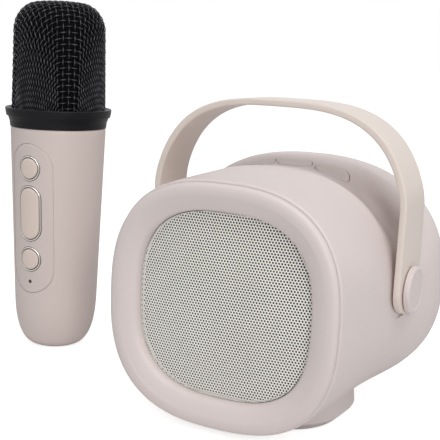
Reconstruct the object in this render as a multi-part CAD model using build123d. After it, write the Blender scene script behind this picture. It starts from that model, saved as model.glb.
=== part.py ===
"""Mini karaoke speaker with a swinging carry handle, and its wireless microphone.

Frame: X to the right, Y to the back, Z up, millimetres.
Origin: centre of the resting face under the speaker's foot.
"""
from build123d import *
from collections import namedtuple
from math import copysign, cos, hypot, pi, radians, sin
import os

os.makedirs("parts", exist_ok=True)

# ---------------------------------------------------------------- driving dimensions
# speaker housing
face_half_width = 46.0       # front bezel, measured at its seam
face_half_height = 45.0
axis_height = 47.5           # middle of the face above the surface
seam_y = -42.0               # plane where bezel and shell meet
wall = 2.2                   # housing walls
lip_gap = 0.6                # open line between bezel and shell
lip_rounding = 1.0           # of the shell's front edge
fit = 0.15                   # clearance of pieces that plug into each other
seat_gap = 0.1               # clearance under pieces that rest on a curved wall
outline_points = 28          # points on each rounded-square outline
hull_depths = [2.4, 8.0, 14.0, 21.0, 28.0, 34.0, 39.0, 42.0, 45.0, 48.0, 51.0, 54.0, 57.5, 61.0,
               64.0, 67.0, 70.0, 73.0, 76.0, 80.0, 84.0, 87.0, 89.5, 91.5]

# valley in front of the rear ridge
valley_depth = 5.0           # at the upper corners
valley_top_share = 0.3       # what is left of it at the top middle
valley_back = 57.5           # its floor, behind the seam
valley_front_run = 18.0      # length of its front slope
valley_rear_run = 14.5       # length of its rear slope

# bezel and grille
bezel_crest = 2.2            # how far the bezel bulges in front of the seam
bezel_crest_inset = 3.2      # from the rim to the crest
grille_half_width = 35.2     # opening
grille_half_height = 34.5
grille_squareness = 2.75
grille_back = 3.4            # where the grille meets the bezel, behind the seam
grille_dome = 1.4            # bulge of the grille
dome_steps = 5
dome_reach = 24.0            # from the grille's edge to its flat middle
bezel_lip = 0.8              # thickness of the bezel in front of the grille
grille_sheet = 0.6
grille_flange = 3.2          # hidden rim that the bezel holds
spigot_wall = 2.4            # bezel ring inside the shell
spigot_length = 5.6

# loudspeaker
baffle_thickness = 3.0
driver_flange_radius = 34.5
driver_flange_sheet = 1.2
cone_radius = 23.5
surround_width = 3.8
cone_depth = 12.0
cone_sheet = 0.7
dust_cap_radius = 9.5
coil_radius = 8.0
coil_length = 12.0
coil_wall = 0.8
magnet_radius = 22.0
magnet_length = 13.0
basket_sheet = 1.4
basket_window = 34.0         # degrees, each of four openings

# top buttons
button_pitch = 16.0
button_length = 14.0
button_width = 9.0
button_back = 60.0           # middle of the row behind the seam
button_gap = 0.3
button_travel = 0.8
button_proud = 0.35
button_board_drop = 13.0     # board below the top of the face
button_board_length = 62.0
button_board_width = 14.0
button_screw_length = 4.5
button_screw_margin = 3.0    # from the ends of the button board
board_thickness = 1.2

# handle
pivot_back = 51.0            # behind the seam
pivot_rise = 5.5             # above the axis
handle_half_width = 55.8     # widest place of the arch
handle_root_half_width = 53.6
handle_height = 67.5         # crown above the pivot
handle_squareness = 3.1
handle_thickness = 2.6
handle_crown_width = 20.0
handle_root_width = 24.0
handle_flat = 14.0           # straight stretch above the pivot
handle_bow_run = 24.0        # length over which the legs spread
channel_gap = 0.5            # between strap and housing
cap_radius = 9.3
cap_height = 2.3
cap_gap = 0.25
pin_radius = 3.0
pin_fit = 0.05
pin_head_radius = 5.5
pin_head_height = 1.0
pin_reach = 9.0              # into the housing's boss
boss_wall = 2.0

# foot
foot_half_width = 35.0
foot_half_depth = 30.0
foot_taper = 3.0             # narrower at the bottom
foot_step = 3.5              # height of its widest outline
foot_height = 11.0           # before it is cut to the housing
foot_squareness = 2.6
pad_thickness = 1.2
pad_proud = 0.6
pad_margin = 3.0
foot_screw_x = 22.0
foot_screw_y = 12.0
foot_screw_length = 7.0

# rear
rear_back = 93.0             # rim of the shell behind the seam
cover_dome = 4.0             # rear cover behind the rim
cover_plate = 2.4
cover_flange_depth = 2.0
panel_width = 46.0
panel_height = 13.0
panel_thickness = 1.6
panel_rise = -16.0           # above the axis
port_pitch = 14.0
usb_width = 8.94             # USB-C shell
usb_height = 3.26
usb_depth = 7.5
usb_mouth_width = 8.34
usb_mouth_height = 2.56
aux_bore_radius = 1.8        # 3.5 mm jack
aux_body = 6.0
aux_bore_length = 10.0
card_width = 12.0
card_height = 1.6
card_depth = 11.0

# power and electronics
cell_radius = 9.2            # 18650
cell_length = 65.0
cell_back = 62.0
cell_rise = -23.0            # above the axis
cell_tip_radius = 2.8
cell_tip_height = 1.5
cradle_wall = 1.6
main_board_width = 50.0
main_board_height = 46.0
main_board_thickness = 1.6
main_board_rise = -10.0
main_board_back = 80.0
standoff_radius = 3.0

# screws
screw_radius = 1.15
screw_head_radius = 2.1
screw_head_height = 1.4
screw_fit = 0.04
screw_spare = 0.3            # what a hole is deeper than its screw's nominal length
housing_screw_hole = 8.0
board_screw_length = 5.0
corner_pad = 5.5             # depth of the housing's screw pads
corner_pad_side = 7.0
beyond = 20.0                # reach of a cutting or filling block past the walls

# microphone
mic_x = -116.5
mic_y = 15.4
mic_foot_radius = 9.0
mic_shell_height = 100.4
mic_top_radius = 21.2
mic_waist_radius = 18.7
mic_waist_height = 24.0
mic_wall = 1.8
collar_radius = 23.8
collar_height = 8.6
collar_rim = 4.1             # height of its rolled upper edge
collar_neck = 12.0           # spigot in the shell
mesh_radius = 21.0
mesh_height = 47.0           # above the collar
mesh_crown_radius = 8.0
mesh_shoulder = 13.0
mesh_sheet = 0.8
mesh_socket = 4.0            # depth of its seat in the collar
cup_drop = 6.0               # capsule holder below that seat
foam_thickness = 2.5
mic_panel_width = 21.5
mic_panel_height = 67.0
mic_panel_middle = mic_shell_height - 39.9
mic_panel_depth = 0.9
mic_button_radius = 4.5
mic_button_rise = mic_panel_middle + 22.6
mic_mode_rise = mic_panel_middle - 18.15
mic_rocker_rise = mic_panel_middle + 2.5
mic_rocker_length = 22.8
mic_rocker_width = 9.8
mic_ring_wall = 0.7
mic_ring_proud = 0.35
mic_button_proud = 0.7
mic_button_gap = 0.3
mic_button_travel = 0.6
mic_button_depth = 3.2
mic_led_radius = 0.8
mic_led_rise = mic_panel_middle - 28.4
mic_board_width = 17.0
mic_board_length = 72.0
mic_board_front = 11.0       # board in front of the microphone's axis
mic_cell_radius = 7.1        # 14500
mic_cell_length = 50.0
chassis_top_gap = 5.0        # below the collar's neck
spine_thickness = 2.0
shelf_thickness = 2.0
clip_wall = 1.2
cup_height = 12.0
cup_bottom = 5.0
capsule_radius = 8.0
capsule_height = 9.0
switch_side = 6.0
switch_height = 3.0
plunger_radius = 1.7
plunger_height = 0.8
switch_gap = 0.1

# ---------------------------------------------------------------- the housing's hull
Station = namedtuple("Station", "back half_width rise drop squareness")


def station(back, flare, rise, drop, squareness):
    """One outline of the hull, by its growth over the face."""
    return Station(back, face_half_width + flare, face_half_height + rise,
                   face_half_height + drop, squareness)


hull_stations = [
    station(lip_gap, 0.7, 0.9, 0.7, 2.60),
    station(14.0, 2.1, 1.6, 0.6, 2.54),
    station(28.0, 3.2, 2.0, 0.3, 2.50),
    station(39.0, 4.0, 2.3, 0.1, 2.47),
    station(47.0, 4.8, 2.5, 0.0, 2.45),
    station(54.0, 6.0, 3.0, 0.0, 2.43),
    station(61.0, 7.5, 3.7, -0.1, 2.42),
    station(68.0, 9.2, 4.5, -0.3, 2.42),
    station(76.0, 10.8, 5.0, -0.8, 2.42),
    station(84.0, 10.8, 4.4, -1.8, 2.41),
    station(89.5, 9.3, 2.8, -3.3, 2.40),
    station(rear_back, 7.0, 0.4, -5.4, 2.40),
]


def slope(i, field):
    """Rate at which a field of the named outlines changes with depth, from its neighbours."""
    near, here = hull_stations[max(i - 1, 0)], hull_stations[i]
    far = hull_stations[min(i + 1, len(hull_stations) - 1)]
    before, after = here.back - near.back, far.back - here.back
    if not before or not after:
        return (far[field] - near[field]) / (before + after)
    return ((far[field] - here[field]) * before / after
            + (here[field] - near[field]) * after / before) / (before + after)


def outline_at(back):
    """Outline at any depth, on a smooth curve through the named ones."""
    i = max(k for k, spot in enumerate(hull_stations[:-1]) if spot.back <= back)
    start, end = hull_stations[i], hull_stations[i + 1]
    run = end.back - start.back
    t = (back - start.back) / run
    fields = [back]
    for field in range(1, len(start)):
        fields.append((2 * t ** 3 - 3 * t ** 2 + 1) * start[field]
                      + (t ** 3 - 2 * t ** 2 + t) * run * slope(i, field)
                      + (3 * t ** 2 - 2 * t ** 3) * end[field]
                      + (t ** 3 - t ** 2) * run * slope(i + 1, field))
    return Station(*fields)


def smooth(value):
    """Ramp from 0 to 1 with level ends."""
    value = max(0.0, min(1.0, value))
    return value * value * (3 - 2 * value)


def valley(back, angle):
    """Depth of the valley below the smooth hull, at an angle up from the side."""
    run = valley_front_run if back < valley_back else valley_rear_run
    along = (back - valley_back) / run
    if abs(along) >= 1 or sin(angle) <= 0:
        return 0.0
    up = min(angle, pi - angle) * 180 / pi
    around = smooth((up - 5) / 32) * (1 - (1 - valley_top_share) * smooth((up - 50) / 38))
    return valley_depth * cos(along * pi / 2) ** 2 * around


def outline(spot, inset=0.0):
    """Closed rounded-square wire of a station, moved inward by inset."""
    points = []
    for i in range(outline_points):
        angle = 2 * pi * i / outline_points
        across, up = cos(angle), sin(angle)
        reach = spot.rise if up >= 0 else spot.drop
        x = (spot.half_width - inset) * copysign(abs(across) ** (2 / spot.squareness), across)
        z = (reach - inset) * copysign(abs(up) ** (2 / spot.squareness), up)
        sink = valley(spot.back, angle) / hypot(x, z)
        points.append(Vector(x * (1 - sink), seam_y + spot.back, axis_height + z * (1 - sink)))
    return Wire([Edge.make_spline(points, periodic=True)])


def skin(stations, inset=0.0):
    """Solid with straight walls between the outlines of the stations."""
    return Solid.make_loft([outline(spot, inset) for spot in stations], True)


def spread(spot, back, grow=0.0):
    """The same outline at another depth, wider by grow."""
    return Station(back, spot.half_width + grow, spot.rise + grow, spot.drop + grow,
                   spot.squareness)


def slab(spot, front, rear):
    """Straight block with a station's outline, between two depths."""
    return skin([spread(spot, front), spread(spot, rear)])


def hull(inset=0.0):
    """Solid of the housing, moved inward by inset; only the outside has its front edge rounded."""
    first, last = hull_stations[0], hull_stations[-1]
    middle = [outline_at(back) for back in hull_depths]
    if inset > 0:
        return skin([spread(first, -2.0)] + middle + [last, spread(last, rear_back + 2.0)], inset)
    edge = []
    for share in (0.0, 0.15, 0.45, 1.0):
        sunk = lip_rounding * (1 - (1 - (1 - share) ** 2) ** 0.5)
        depth = lip_gap + lip_rounding * share
        edge.append(spread(outline_at(depth), depth, -sunk))
    return skin(edge + middle + [last], inset)


def rod(radius, front, rear, x=0.0, z=axis_height):
    """Cylinder along Y between two depths behind the seam."""
    middle = Plane(origin=(x, seam_y + front, z), z_dir=(0, 1, 0))
    return Solid.make_cylinder(radius, rear - front, middle)


def post(radius, bottom, top, x=0.0, y=0.0):
    """Cylinder along Z."""
    return Solid.make_cylinder(radius, top - bottom, Plane(origin=(x, y, bottom)))


def pin(radius, start, end, y, z):
    """Cylinder along X."""
    middle = Plane(origin=(min(start, end), y, z), z_dir=(1, 0, 0))
    return Solid.make_cylinder(radius, abs(end - start), middle)


def block(x0, x1, y0, y1, z0, z1):
    return Solid.make_box(x1 - x0, y1 - y0, z1 - z0, Plane(origin=(x0, y0, z0)))


def solids(shape):
    """The solids of a shape, whatever kind it is."""
    return list(shape.solids())


def save(name, *pieces):
    """Write one node: one solid or a group of separate solids."""
    members = []
    for piece in pieces:
        members += solids(piece)
    shape = members[0] if len(members) == 1 else Compound(children=members)
    export_step(shape, f"parts/{name}.step")


def head_screw(plane, length):
    """Pan head screw; the plane's normal points out of the head."""
    shank = Solid.make_cylinder(screw_radius, length, plane.offset(-length))
    head = Solid.make_cylinder(screw_head_radius, screw_head_height, plane)
    return shank + head


def hole_for_screw(plane, length):
    """Clearance for a screw's shank, a little deeper than the screw."""
    deep = length + 0.5
    return Solid.make_cylinder(screw_radius + screw_fit, deep, plane.offset(-deep))


outer_hull = hull()
cavity = hull(wall)

# ---------------------------------------------------------------- bezel and grille
face = Station(0.0, face_half_width, face_half_height, face_half_height, 2.61)
opening = Station(grille_back, grille_half_width, grille_half_height, grille_half_height,
                  grille_squareness)
spigot = spread(face, 0.0, -(wall + fit))
baffle_front = spigot_length + fit


def front_bezel():
    """Ring with a rounded crest that dishes in to the grille, and a spigot behind it."""
    edge = spread(face, -bezel_crest * 0.65, -bezel_crest_inset * 0.15)
    turn = spread(face, -bezel_crest * 0.93, -bezel_crest_inset * 0.5)
    crest = spread(face, -bezel_crest, -bezel_crest_inset)
    brow = spread(face, -bezel_crest * 0.9, -bezel_crest_inset * 1.6)
    shoulder = spread(opening, 0.0, 1.0)
    throat = spread(opening, grille_back * 0.35, 0.15)
    dish = skin([spread(brow, -bezel_crest - 1.0), brow, shoulder, throat,
                 spread(opening, grille_back)])
    through = slab(opening, grille_back - 0.1, spigot_length + 1)
    seat = slab(spread(opening, 0.0, grille_flange + fit), grille_back + bezel_lip,
                spigot_length + 1)
    body = skin([face, edge, turn, crest]) + slab(spigot, 0.0, spigot_length)
    return body - [dish, through, seat]


def speaker_grille():
    """Pressed sheet: flat flange behind the bezel, short wall, shallow dome."""
    flange_front = grille_back + bezel_lip + fit
    flange_rear = flange_front + grille_sheet
    wall_front = grille_back - fit
    dome = [spread(opening, flange_rear, -fit), spread(opening, wall_front, -fit - 0.3)]
    for step in range(1, dome_steps + 1):
        share = step / dome_steps
        shrink = fit + 0.3 + dome_reach * share
        dome.append(spread(opening, wall_front - grille_dome * sin(share * pi / 2), -shrink))
    inner = [spread(spot, spot.back + grille_sheet, -grille_sheet) for spot in dome[1:]]
    inner.insert(0, spread(inner[0], flange_rear + 1.0))
    flange = slab(spread(opening, 0.0, grille_flange), flange_front, flange_rear)
    return flange + skin(dome) - skin(inner)


# ---------------------------------------------------------------- loudspeaker
baffle_rear = baffle_front + baffle_thickness
flange_rear = baffle_rear + driver_flange_sheet
cone_mouth = baffle_rear - cone_sheet
basket_rear = flange_rear + cone_depth + 6.0
magnet_rear = basket_rear + magnet_length
screw_circle = driver_flange_radius - 2.6
baffle_outline = spread(spigot, 0.0, -0.3)
surround_radius = cone_radius + surround_width + 0.8


def corner_spots(spot, share):
    """Four places near the corners of an outline."""
    places = []
    for angle in (45, 135, 225, 315):
        across, up = cos(radians(angle)), sin(radians(angle))
        reach = spot.rise if up > 0 else spot.drop
        x = share * spot.half_width * copysign(abs(across) ** (2 / spot.squareness), across)
        z = share * reach * copysign(abs(up) ** (2 / spot.squareness), up)
        places.append((x, axis_height + z))
    return places


baffle_spots = corner_spots(baffle_outline, 0.9)


def facing_front(x, back, z):
    """Plane of a screw driven in from the front."""
    return Plane(origin=(x, seam_y + back, z), z_dir=(0, -1, 0))


def facing_rear(x, back, z):
    """Plane of a screw driven in from behind."""
    return Plane(origin=(x, seam_y + back, z), z_dir=(0, 1, 0))


def driver_spots():
    """Screws through the driver's flange, on the diagonals."""
    places = []
    for angle in (45, 135, 225, 315):
        x = screw_circle * cos(radians(angle))
        places.append((x, axis_height + screw_circle * sin(radians(angle))))
    return places


driver_screw_length = driver_flange_sheet + baffle_thickness - 1.0


def driver_baffle():
    plate = slab(baffle_outline, baffle_front, baffle_rear)
    plate -= rod(surround_radius + 0.3, baffle_front - 1, baffle_rear + 1)
    for x, z in baffle_spots:
        plate -= hole_for_screw(facing_front(x, baffle_front + screw_head_height, z),
                                housing_screw_hole)
        plate -= rod(screw_head_radius + fit, baffle_front - 1,
                     baffle_front + screw_head_height, x, z)
    for x, z in driver_spots():
        plate -= hole_for_screw(facing_rear(x, flange_rear, z), driver_screw_length)
    return plate


def ring(outer, inner, front, rear):
    return rod(outer, front, rear) - rod(inner, front - 1, rear + 1)


def funnel(wide, narrow, front, rear):
    """Cone along Y, wide at the front."""
    middle = Plane(origin=(0, seam_y + front, axis_height), z_dir=(0, 1, 0))
    return Solid.make_cone(wide, narrow, rear - front, middle)


def driver_basket():
    """Pressed frame with a flange, four windows and a flat back."""
    frame_radius = screw_circle - screw_head_radius - 0.3
    seat_radius = cone_radius + surround_width - 1.4
    body = rod(driver_flange_radius, baffle_rear, flange_rear)
    body += funnel(frame_radius, magnet_radius, flange_rear, basket_rear)
    hollow = funnel(frame_radius - basket_sheet, magnet_radius - basket_sheet, flange_rear,
                    basket_rear - basket_sheet)
    cuts = [hollow, rod(seat_radius, baffle_rear - 1, flange_rear),
            rod(coil_radius + coil_wall + 0.8, flange_rear, basket_rear + 1)]
    axis = Axis((0, 0, axis_height), (0, 1, 0))
    for turn in range(4):
        window = block(-8.5, 8.5, seam_y + flange_rear + 2, seam_y + basket_rear - 3,
                       axis_height + 8, axis_height + 40)
        cuts.append(window.rotate(axis, 90 * turn))
    for x, z in driver_spots():
        cuts.append(rod(screw_radius + screw_fit, baffle_rear - 1, flange_rear + 1, x, z))
    return body - cuts


def driver_magnet():
    front_plate = ring(magnet_radius - 3, coil_radius + coil_wall + 0.5, basket_rear,
                       basket_rear + 3)
    block_magnet = ring(magnet_radius, coil_radius + coil_wall + 2.5, basket_rear + 3,
                        magnet_rear - 3)
    back_plate = rod(magnet_radius - 3, magnet_rear - 3, magnet_rear)
    pole = rod(coil_radius - coil_wall - 0.5, basket_rear - 1, magnet_rear)
    return front_plate + block_magnet + back_plate + pole


def driver_cone():
    neck = cone_mouth + cone_depth
    neck_radius = coil_radius + cone_sheet
    outside = funnel(cone_radius, neck_radius, cone_mouth, neck)
    return outside - funnel(cone_radius - cone_sheet, neck_radius - cone_sheet,
                            cone_mouth - 0.001, neck + 0.001)


def driver_surround():
    """Half roll of rubber between cone and basket, with a flat hem."""
    roll = surround_width / 2
    plane = Plane(origin=(cone_radius + roll + 0.05, seam_y + baffle_rear - cone_sheet,
                          axis_height), z_dir=(0, 0, 1))
    profile = plane * (Circle(roll) - Circle(roll - cone_sheet))
    profile -= plane * Pos(0, 2 * roll) * Rectangle(4 * roll, 4 * roll)
    arch = revolve(profile, Axis((0, seam_y, axis_height), (0, 1, 0)), 360)
    hem = ring(surround_radius, surround_radius - 1.5, baffle_rear - cone_sheet, baffle_rear)
    return arch + hem


def dust_cap():
    depth = cone_mouth + cone_depth * 0.82
    rise = 4.0
    sphere_radius = (dust_cap_radius ** 2 + rise ** 2) / (2 * rise)
    centre = (0, seam_y + depth + sphere_radius - rise, axis_height)
    ball = Pos(*centre) * Sphere(sphere_radius)
    inner = Pos(*centre) * Sphere(sphere_radius - cone_sheet)
    keep = rod(dust_cap_radius, depth - rise - 1, depth)
    return (ball & keep) - inner


def voice_coil():
    start = cone_mouth + cone_depth + 0.1
    return ring(coil_radius + coil_wall / 2, coil_radius - coil_wall / 2, start,
                start + coil_length)


def driver_spider():
    back = cone_mouth + cone_depth + 1.5
    return ring(magnet_radius - basket_sheet - 0.3, coil_radius + coil_wall / 2 + 0.1, back,
                back + cone_sheet)


# ---------------------------------------------------------------- handle
pivot_y = seam_y + pivot_back
pivot_z = axis_height + pivot_rise
root_radius = handle_root_width / 2
leg_inner = handle_root_half_width - handle_thickness
channel_floor = leg_inner - channel_gap


def arch_points(inset, steps=12):
    """Right half of the arch from its straight leg to the crown: (x, height over the pivot)."""
    points = [(handle_root_half_width - inset, handle_flat)]
    for i in range(1, steps + 1):
        angle = pi / 2 * (0.2 + 0.8 * i / steps)
        across = cos(angle) if i < steps else 0.0
        height = (handle_height - inset) * sin(angle) ** (2 / handle_squareness)
        bow = handle_half_width - handle_root_half_width
        swell = bow * smooth((height - handle_flat) / handle_bow_run)
        reach = handle_root_half_width + swell - inset
        points.append((reach * across ** (2 / handle_squareness), height))
    return points


def arch_edges(inset):
    """Left leg, arch and right leg as three joined edges."""
    right = arch_points(inset)
    left = [(-x, height) for x, height in reversed(right[:-1])]
    curve = [Vector(x, 0, height) for x, height in right + left]
    bottom = Vector(0, 0, -root_radius - handle_flat)
    arch = Edge.make_spline(curve, tangents=[Vector(0, 0, 1), Vector(0, 0, -1)])
    return [Edge.make_line(curve[0] + bottom, curve[0]), arch,
            Edge.make_line(curve[-1], curve[-1] + bottom)]


def handle_strap():
    outer = arch_edges(0.0)
    inner = arch_edges(handle_thickness)
    ends = [Edge.make_line(outer[0] @ 0, inner[0] @ 0), Edge.make_line(outer[2] @ 1, inner[2] @ 1)]
    profile = Face(Wire(outer + inner + ends))
    band = extrude(profile, handle_root_width, dir=(0, 1, 0), both=True)
    crown = handle_height + 1
    far = handle_half_width + 10
    side = Polyline((-handle_root_width / 2, 0), (-handle_crown_width / 2, crown),
                    (handle_crown_width / 2, crown), (handle_root_width / 2, 0), close=True)
    across = Plane(origin=(-far, 0, 0), x_dir=(0, 1, 0), z_dir=(1, 0, 0))
    keep = extrude(across * make_face(side), 2 * far)
    keep += pin(root_radius, -far, far, 0, 0)
    band = (band & keep) - pin(pin_radius + pin_fit, -far, far, 0, 0)
    return band.moved(Location((0, pivot_y, pivot_z)))


def channel(side):
    """Flat recess of the housing in which a leg of the handle stands."""
    far = side * (handle_half_width + 8)
    near = side * channel_floor
    radius = root_radius + channel_gap
    recess = pin(radius, near, far, pivot_y, pivot_z)
    x0, x1 = min(near, far), max(near, far)
    return recess + block(x0, x1, pivot_y - radius, pivot_y + radius, pivot_z,
                          pivot_z + handle_height)


def channel_backing(side):
    """Wall behind the recess, with a round boss that takes the pivot pin."""
    x0, x1 = sorted((side * (channel_floor - wall), side * (handle_half_width + 8)))
    radius = root_radius + channel_gap + wall
    backing = pin(radius, x0, x1, pivot_y, pivot_z)
    backing += block(x0, x1, pivot_y - radius, pivot_y + radius, pivot_z,
                     pivot_z + handle_height)
    start = side * (channel_floor - pin_reach)
    return backing + pin(pin_radius + boss_wall, start, side * channel_floor, pivot_y, pivot_z)


def handle_pin(side):
    """Shoulder pin through the leg, with a flat head on its outside."""
    head_seat = side * (handle_root_half_width + cap_gap)
    shank = pin(pin_radius, side * (channel_floor - pin_reach), head_seat, pivot_y, pivot_z)
    head = pin(pin_head_radius, head_seat, head_seat + side * pin_head_height, pivot_y, pivot_z)
    return shank + head


def handle_cap(side):
    """Domed cover over the pin's head, thicker to the rear as the housing widens."""
    start = handle_root_half_width + cap_gap
    disc = pin(cap_radius, side * start, side * (start + cap_height + 2), pivot_y, pivot_z)
    ball_radius = 60.0
    tilt = radians(6)
    centre_x = side * (start + cap_height - ball_radius * cos(tilt))
    ball = Pos(centre_x, pivot_y + ball_radius * sin(tilt), pivot_z) * Sphere(ball_radius)
    cover = disc & ball
    rim = cover.edges().sort_by(lambda edge: side * edge.center().X)[-1]
    cover = fillet(rim, 0.7)
    room = pin(pin_head_radius + 0.05, side * (start - 1),
               side * (start + pin_head_height + 0.05), pivot_y, pivot_z)
    return cover - room


# ---------------------------------------------------------------- top buttons
button_y = seam_y + button_back
button_board_top = axis_height + face_half_height - button_board_drop
stem_bottom = button_board_top + switch_height + plunger_height + button_travel + switch_gap
button_places = [-button_pitch, 0.0, button_pitch]


def pill(length, width, x, y, bottom, top):
    """Upright block with round ends, longest along X."""
    flat = block(x - (length - width) / 2, x + (length - width) / 2, y - width / 2,
                 y + width / 2, bottom, top)
    for end in (-1, 1):
        flat += post(width / 2, bottom, top, x + end * (length - width) / 2, y)
    return flat


def top_button(x):
    crown = outer_hull.moved(Location((0, 0, button_proud)))
    roof = axis_height + face_half_height + 12
    cap = pill(button_length, button_width, x, button_y, button_board_top + 7.5, roof)
    return (cap & crown) + post(1.6, stem_bottom, button_board_top + 8, x, button_y)


def under_button_board(side):
    """Plane of a screw driven up through one end of the button board."""
    return Plane(origin=(side * (button_board_length / 2 - button_screw_margin), button_y,
                         button_board_top - board_thickness), z_dir=(0, 0, -1))


def button_board():
    board = block(-button_board_length / 2, button_board_length / 2,
                  button_y - button_board_width / 2, button_y + button_board_width / 2,
                  button_board_top - board_thickness, button_board_top)
    for x in (-1, 1):
        board -= hole_for_screw(under_button_board(x), board_thickness + 1)
    return board


def tact_switch(centre, normal):
    """Push switch on a board; the normal points out of its plunger."""
    base = Plane(origin=centre, z_dir=normal)
    corner = base.from_local_coords(Vector(-switch_side / 2, -switch_side / 2, 0))
    body = Solid.make_box(switch_side, switch_side, switch_height,
                          Plane(origin=corner, x_dir=base.x_dir, z_dir=base.z_dir))
    return body + Solid.make_cylinder(plunger_radius, plunger_height,
                                      base.offset(switch_height))


def tact_switches():
    places = [(x, button_y, button_board_top) for x in button_places]
    return [tact_switch(place, (0, 0, 1)) for place in places]


def button_board_screws():
    length = button_screw_length - screw_spare
    return [head_screw(under_button_board(side), length) for side in (-1, 1)]


# ---------------------------------------------------------------- foot
foot_floor = pad_proud


def foot_outline(z, taper):
    """Rounded-oval wire of the foot at a height, narrower by taper."""
    points = []
    for i in range(outline_points):
        angle = 2 * pi * i / outline_points
        across, along = cos(angle), sin(angle)
        power = 2 / foot_squareness
        x = (foot_half_width - taper) * copysign(abs(across) ** power, across)
        y = (foot_half_depth - taper) * copysign(abs(along) ** power, along)
        points.append(Vector(x, y, z))
    return Wire([Edge.make_spline(points, periodic=True)])


def foot_block(bottom, top, taper_bottom, taper_top):
    return Solid.make_loft([foot_outline(bottom, taper_bottom), foot_outline(top, taper_top)],
                           ruled=True)


def foot_spots():
    return [(x * foot_screw_x, y * foot_screw_y) for x in (-1, 1) for y in (-1, 1)]


foot_screw_seat = pad_thickness + seat_gap + screw_head_height


def facing_floor(x, y, z):
    """Plane of a screw driven up from below."""
    return Plane(origin=(x, y, z), z_dir=(0, 0, -1))


def base_foot():
    """Oval foot whose top is hollowed to the belly of the housing."""
    body = foot_block(foot_floor, foot_step, foot_taper, 0.0)
    body += foot_block(foot_step, foot_height, 0.0, 0.6)
    recess = foot_taper + pad_margin - fit
    cuts = [skin([outline_at(back) for back in hull_depths], -seat_gap),
            foot_block(foot_floor - 1, pad_thickness + seat_gap, recess, recess)]
    for x, y in foot_spots():
        cuts.append(hole_for_screw(facing_floor(x, y, foot_screw_seat), foot_screw_length))
        cuts.append(post(screw_head_radius + fit, 0, foot_screw_seat, x, y))
    return body - cuts


def foot_pad():
    margin = foot_taper + pad_margin
    return foot_block(0.0, pad_thickness, margin, margin)


# ---------------------------------------------------------------- rear cover and ports
rim = hull_stations[-1]
cover_seat = rear_back - cover_flange_depth
cover_outline = spread(rim, 0.0, -(wall + fit))
cover_spots = corner_spots(cover_outline, 0.84)
panel_z = axis_height + panel_rise
cover_rear = rear_back + cover_dome
cover_screw_seat = cover_seat + 2.6
panel_front = rear_back + cover_dome - panel_thickness - 0.6
port_places = [-port_pitch, 0.0, port_pitch]


def rear_cover():
    """Domed plate in the shell's rear opening, with screw wells and board posts."""
    form = slab(cover_outline, cover_seat, rear_back)
    form += skin([spread(cover_outline, rear_back),
                  spread(cover_outline, rear_back + 2.4, -2.6),
                  spread(cover_outline, cover_rear, -9.0)])
    hollow = slab(spread(cover_outline, 0.0, -5.0), cover_seat - 1, cover_rear - cover_plate)
    wells = [rod(screw_head_radius + 1.6, cover_seat, cover_rear, x, z) for x, z in cover_spots]
    wells += [rod(standoff_radius, cover_seat, cover_rear, x, z) for x, z in board_spots()]
    body = form - (hollow - wells)
    posts = [rod(standoff_radius, main_board_back + main_board_thickness, cover_seat + 1, x, z)
             for x, z in board_spots()]
    cuts = [port_block(panel_width + 2 * fit, panel_height + 2 * fit, panel_thickness, 0.0),
            port_block(panel_width + 2 * fit, panel_height + 2 * fit, -5, 0.0),
            port_block(panel_width - 4, panel_height - 3, 12, 0.0)]
    for x, z in cover_spots:
        cuts.append(rod(screw_head_radius + fit, cover_screw_seat, cover_rear + 1, x, z))
        cuts.append(rod(screw_radius + screw_fit, cover_seat - 1, cover_rear, x, z))
    for x, z in board_spots():
        cuts.append(rod(screw_radius + screw_fit, main_board_back, cover_seat + 1, x, z))
    return body + posts - cuts


def board_spots():
    half_width = main_board_width / 2 - standoff_radius
    half_height = main_board_height / 2 - standoff_radius
    middle = axis_height + main_board_rise
    return [(x * half_width, middle + z * half_height) for x in (-1, 1) for z in (-1, 1)]


def port_block(width, height, depth, x):
    """Box behind the port panel's face (in front of it if depth is negative)."""
    rear = seam_y + panel_front + panel_thickness
    y0, y1 = sorted((rear - depth, rear))
    return block(x - width / 2, x + width / 2, y0, y1, panel_z - height / 2,
                 panel_z + height / 2)


def port_panel():
    rear = seam_y + panel_front + panel_thickness
    plate = block(-panel_width / 2, panel_width / 2, seam_y + panel_front + seat_gap, rear,
                  panel_z - panel_height / 2, panel_z + panel_height / 2)
    plate -= port_block(usb_width + 2 * fit, usb_height + 2 * fit, 20, port_places[0])
    plate -= rod(aux_body / 2 + fit, 0, 200, port_places[1], panel_z)
    return plate - port_block(card_width + 2 * fit, card_height + 2 * fit + 1, 20,
                              port_places[2])


def usb_c_socket():
    x = port_places[0]
    shell = port_block(usb_width, usb_height, panel_depth, x)
    mouth = port_block(usb_mouth_width, usb_mouth_height, usb_depth, x)
    tongue = port_block(usb_mouth_width - 1.6, 0.7, usb_depth + 0.5, x)
    tongue -= port_block(usb_mouth_width, 2, 1.5, x)
    return (shell - mouth) + tongue


def aux_socket():
    rear = panel_front + panel_thickness
    barrel = rod(aux_body / 2, rear - panel_depth, rear, port_places[1], panel_z)
    body = block(-aux_body / 2 - 1, aux_body / 2 + 1, seam_y + rear - panel_depth,
                 seam_y + panel_front - 1, panel_z - aux_body / 2, panel_z + aux_body / 2)
    return (barrel + body) - rod(aux_bore_radius, rear - aux_bore_length, rear + 1,
                                 port_places[1], panel_z)


def card_slot():
    x = port_places[2]
    body = port_block(card_width, card_height + 1, panel_depth, x)
    return body - port_block(card_width - 1, card_height - 0.6, card_depth - 1.0, x)


panel_depth = panel_front + panel_thickness - main_board_back - main_board_thickness

# ---------------------------------------------------------------- boards and power


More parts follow.
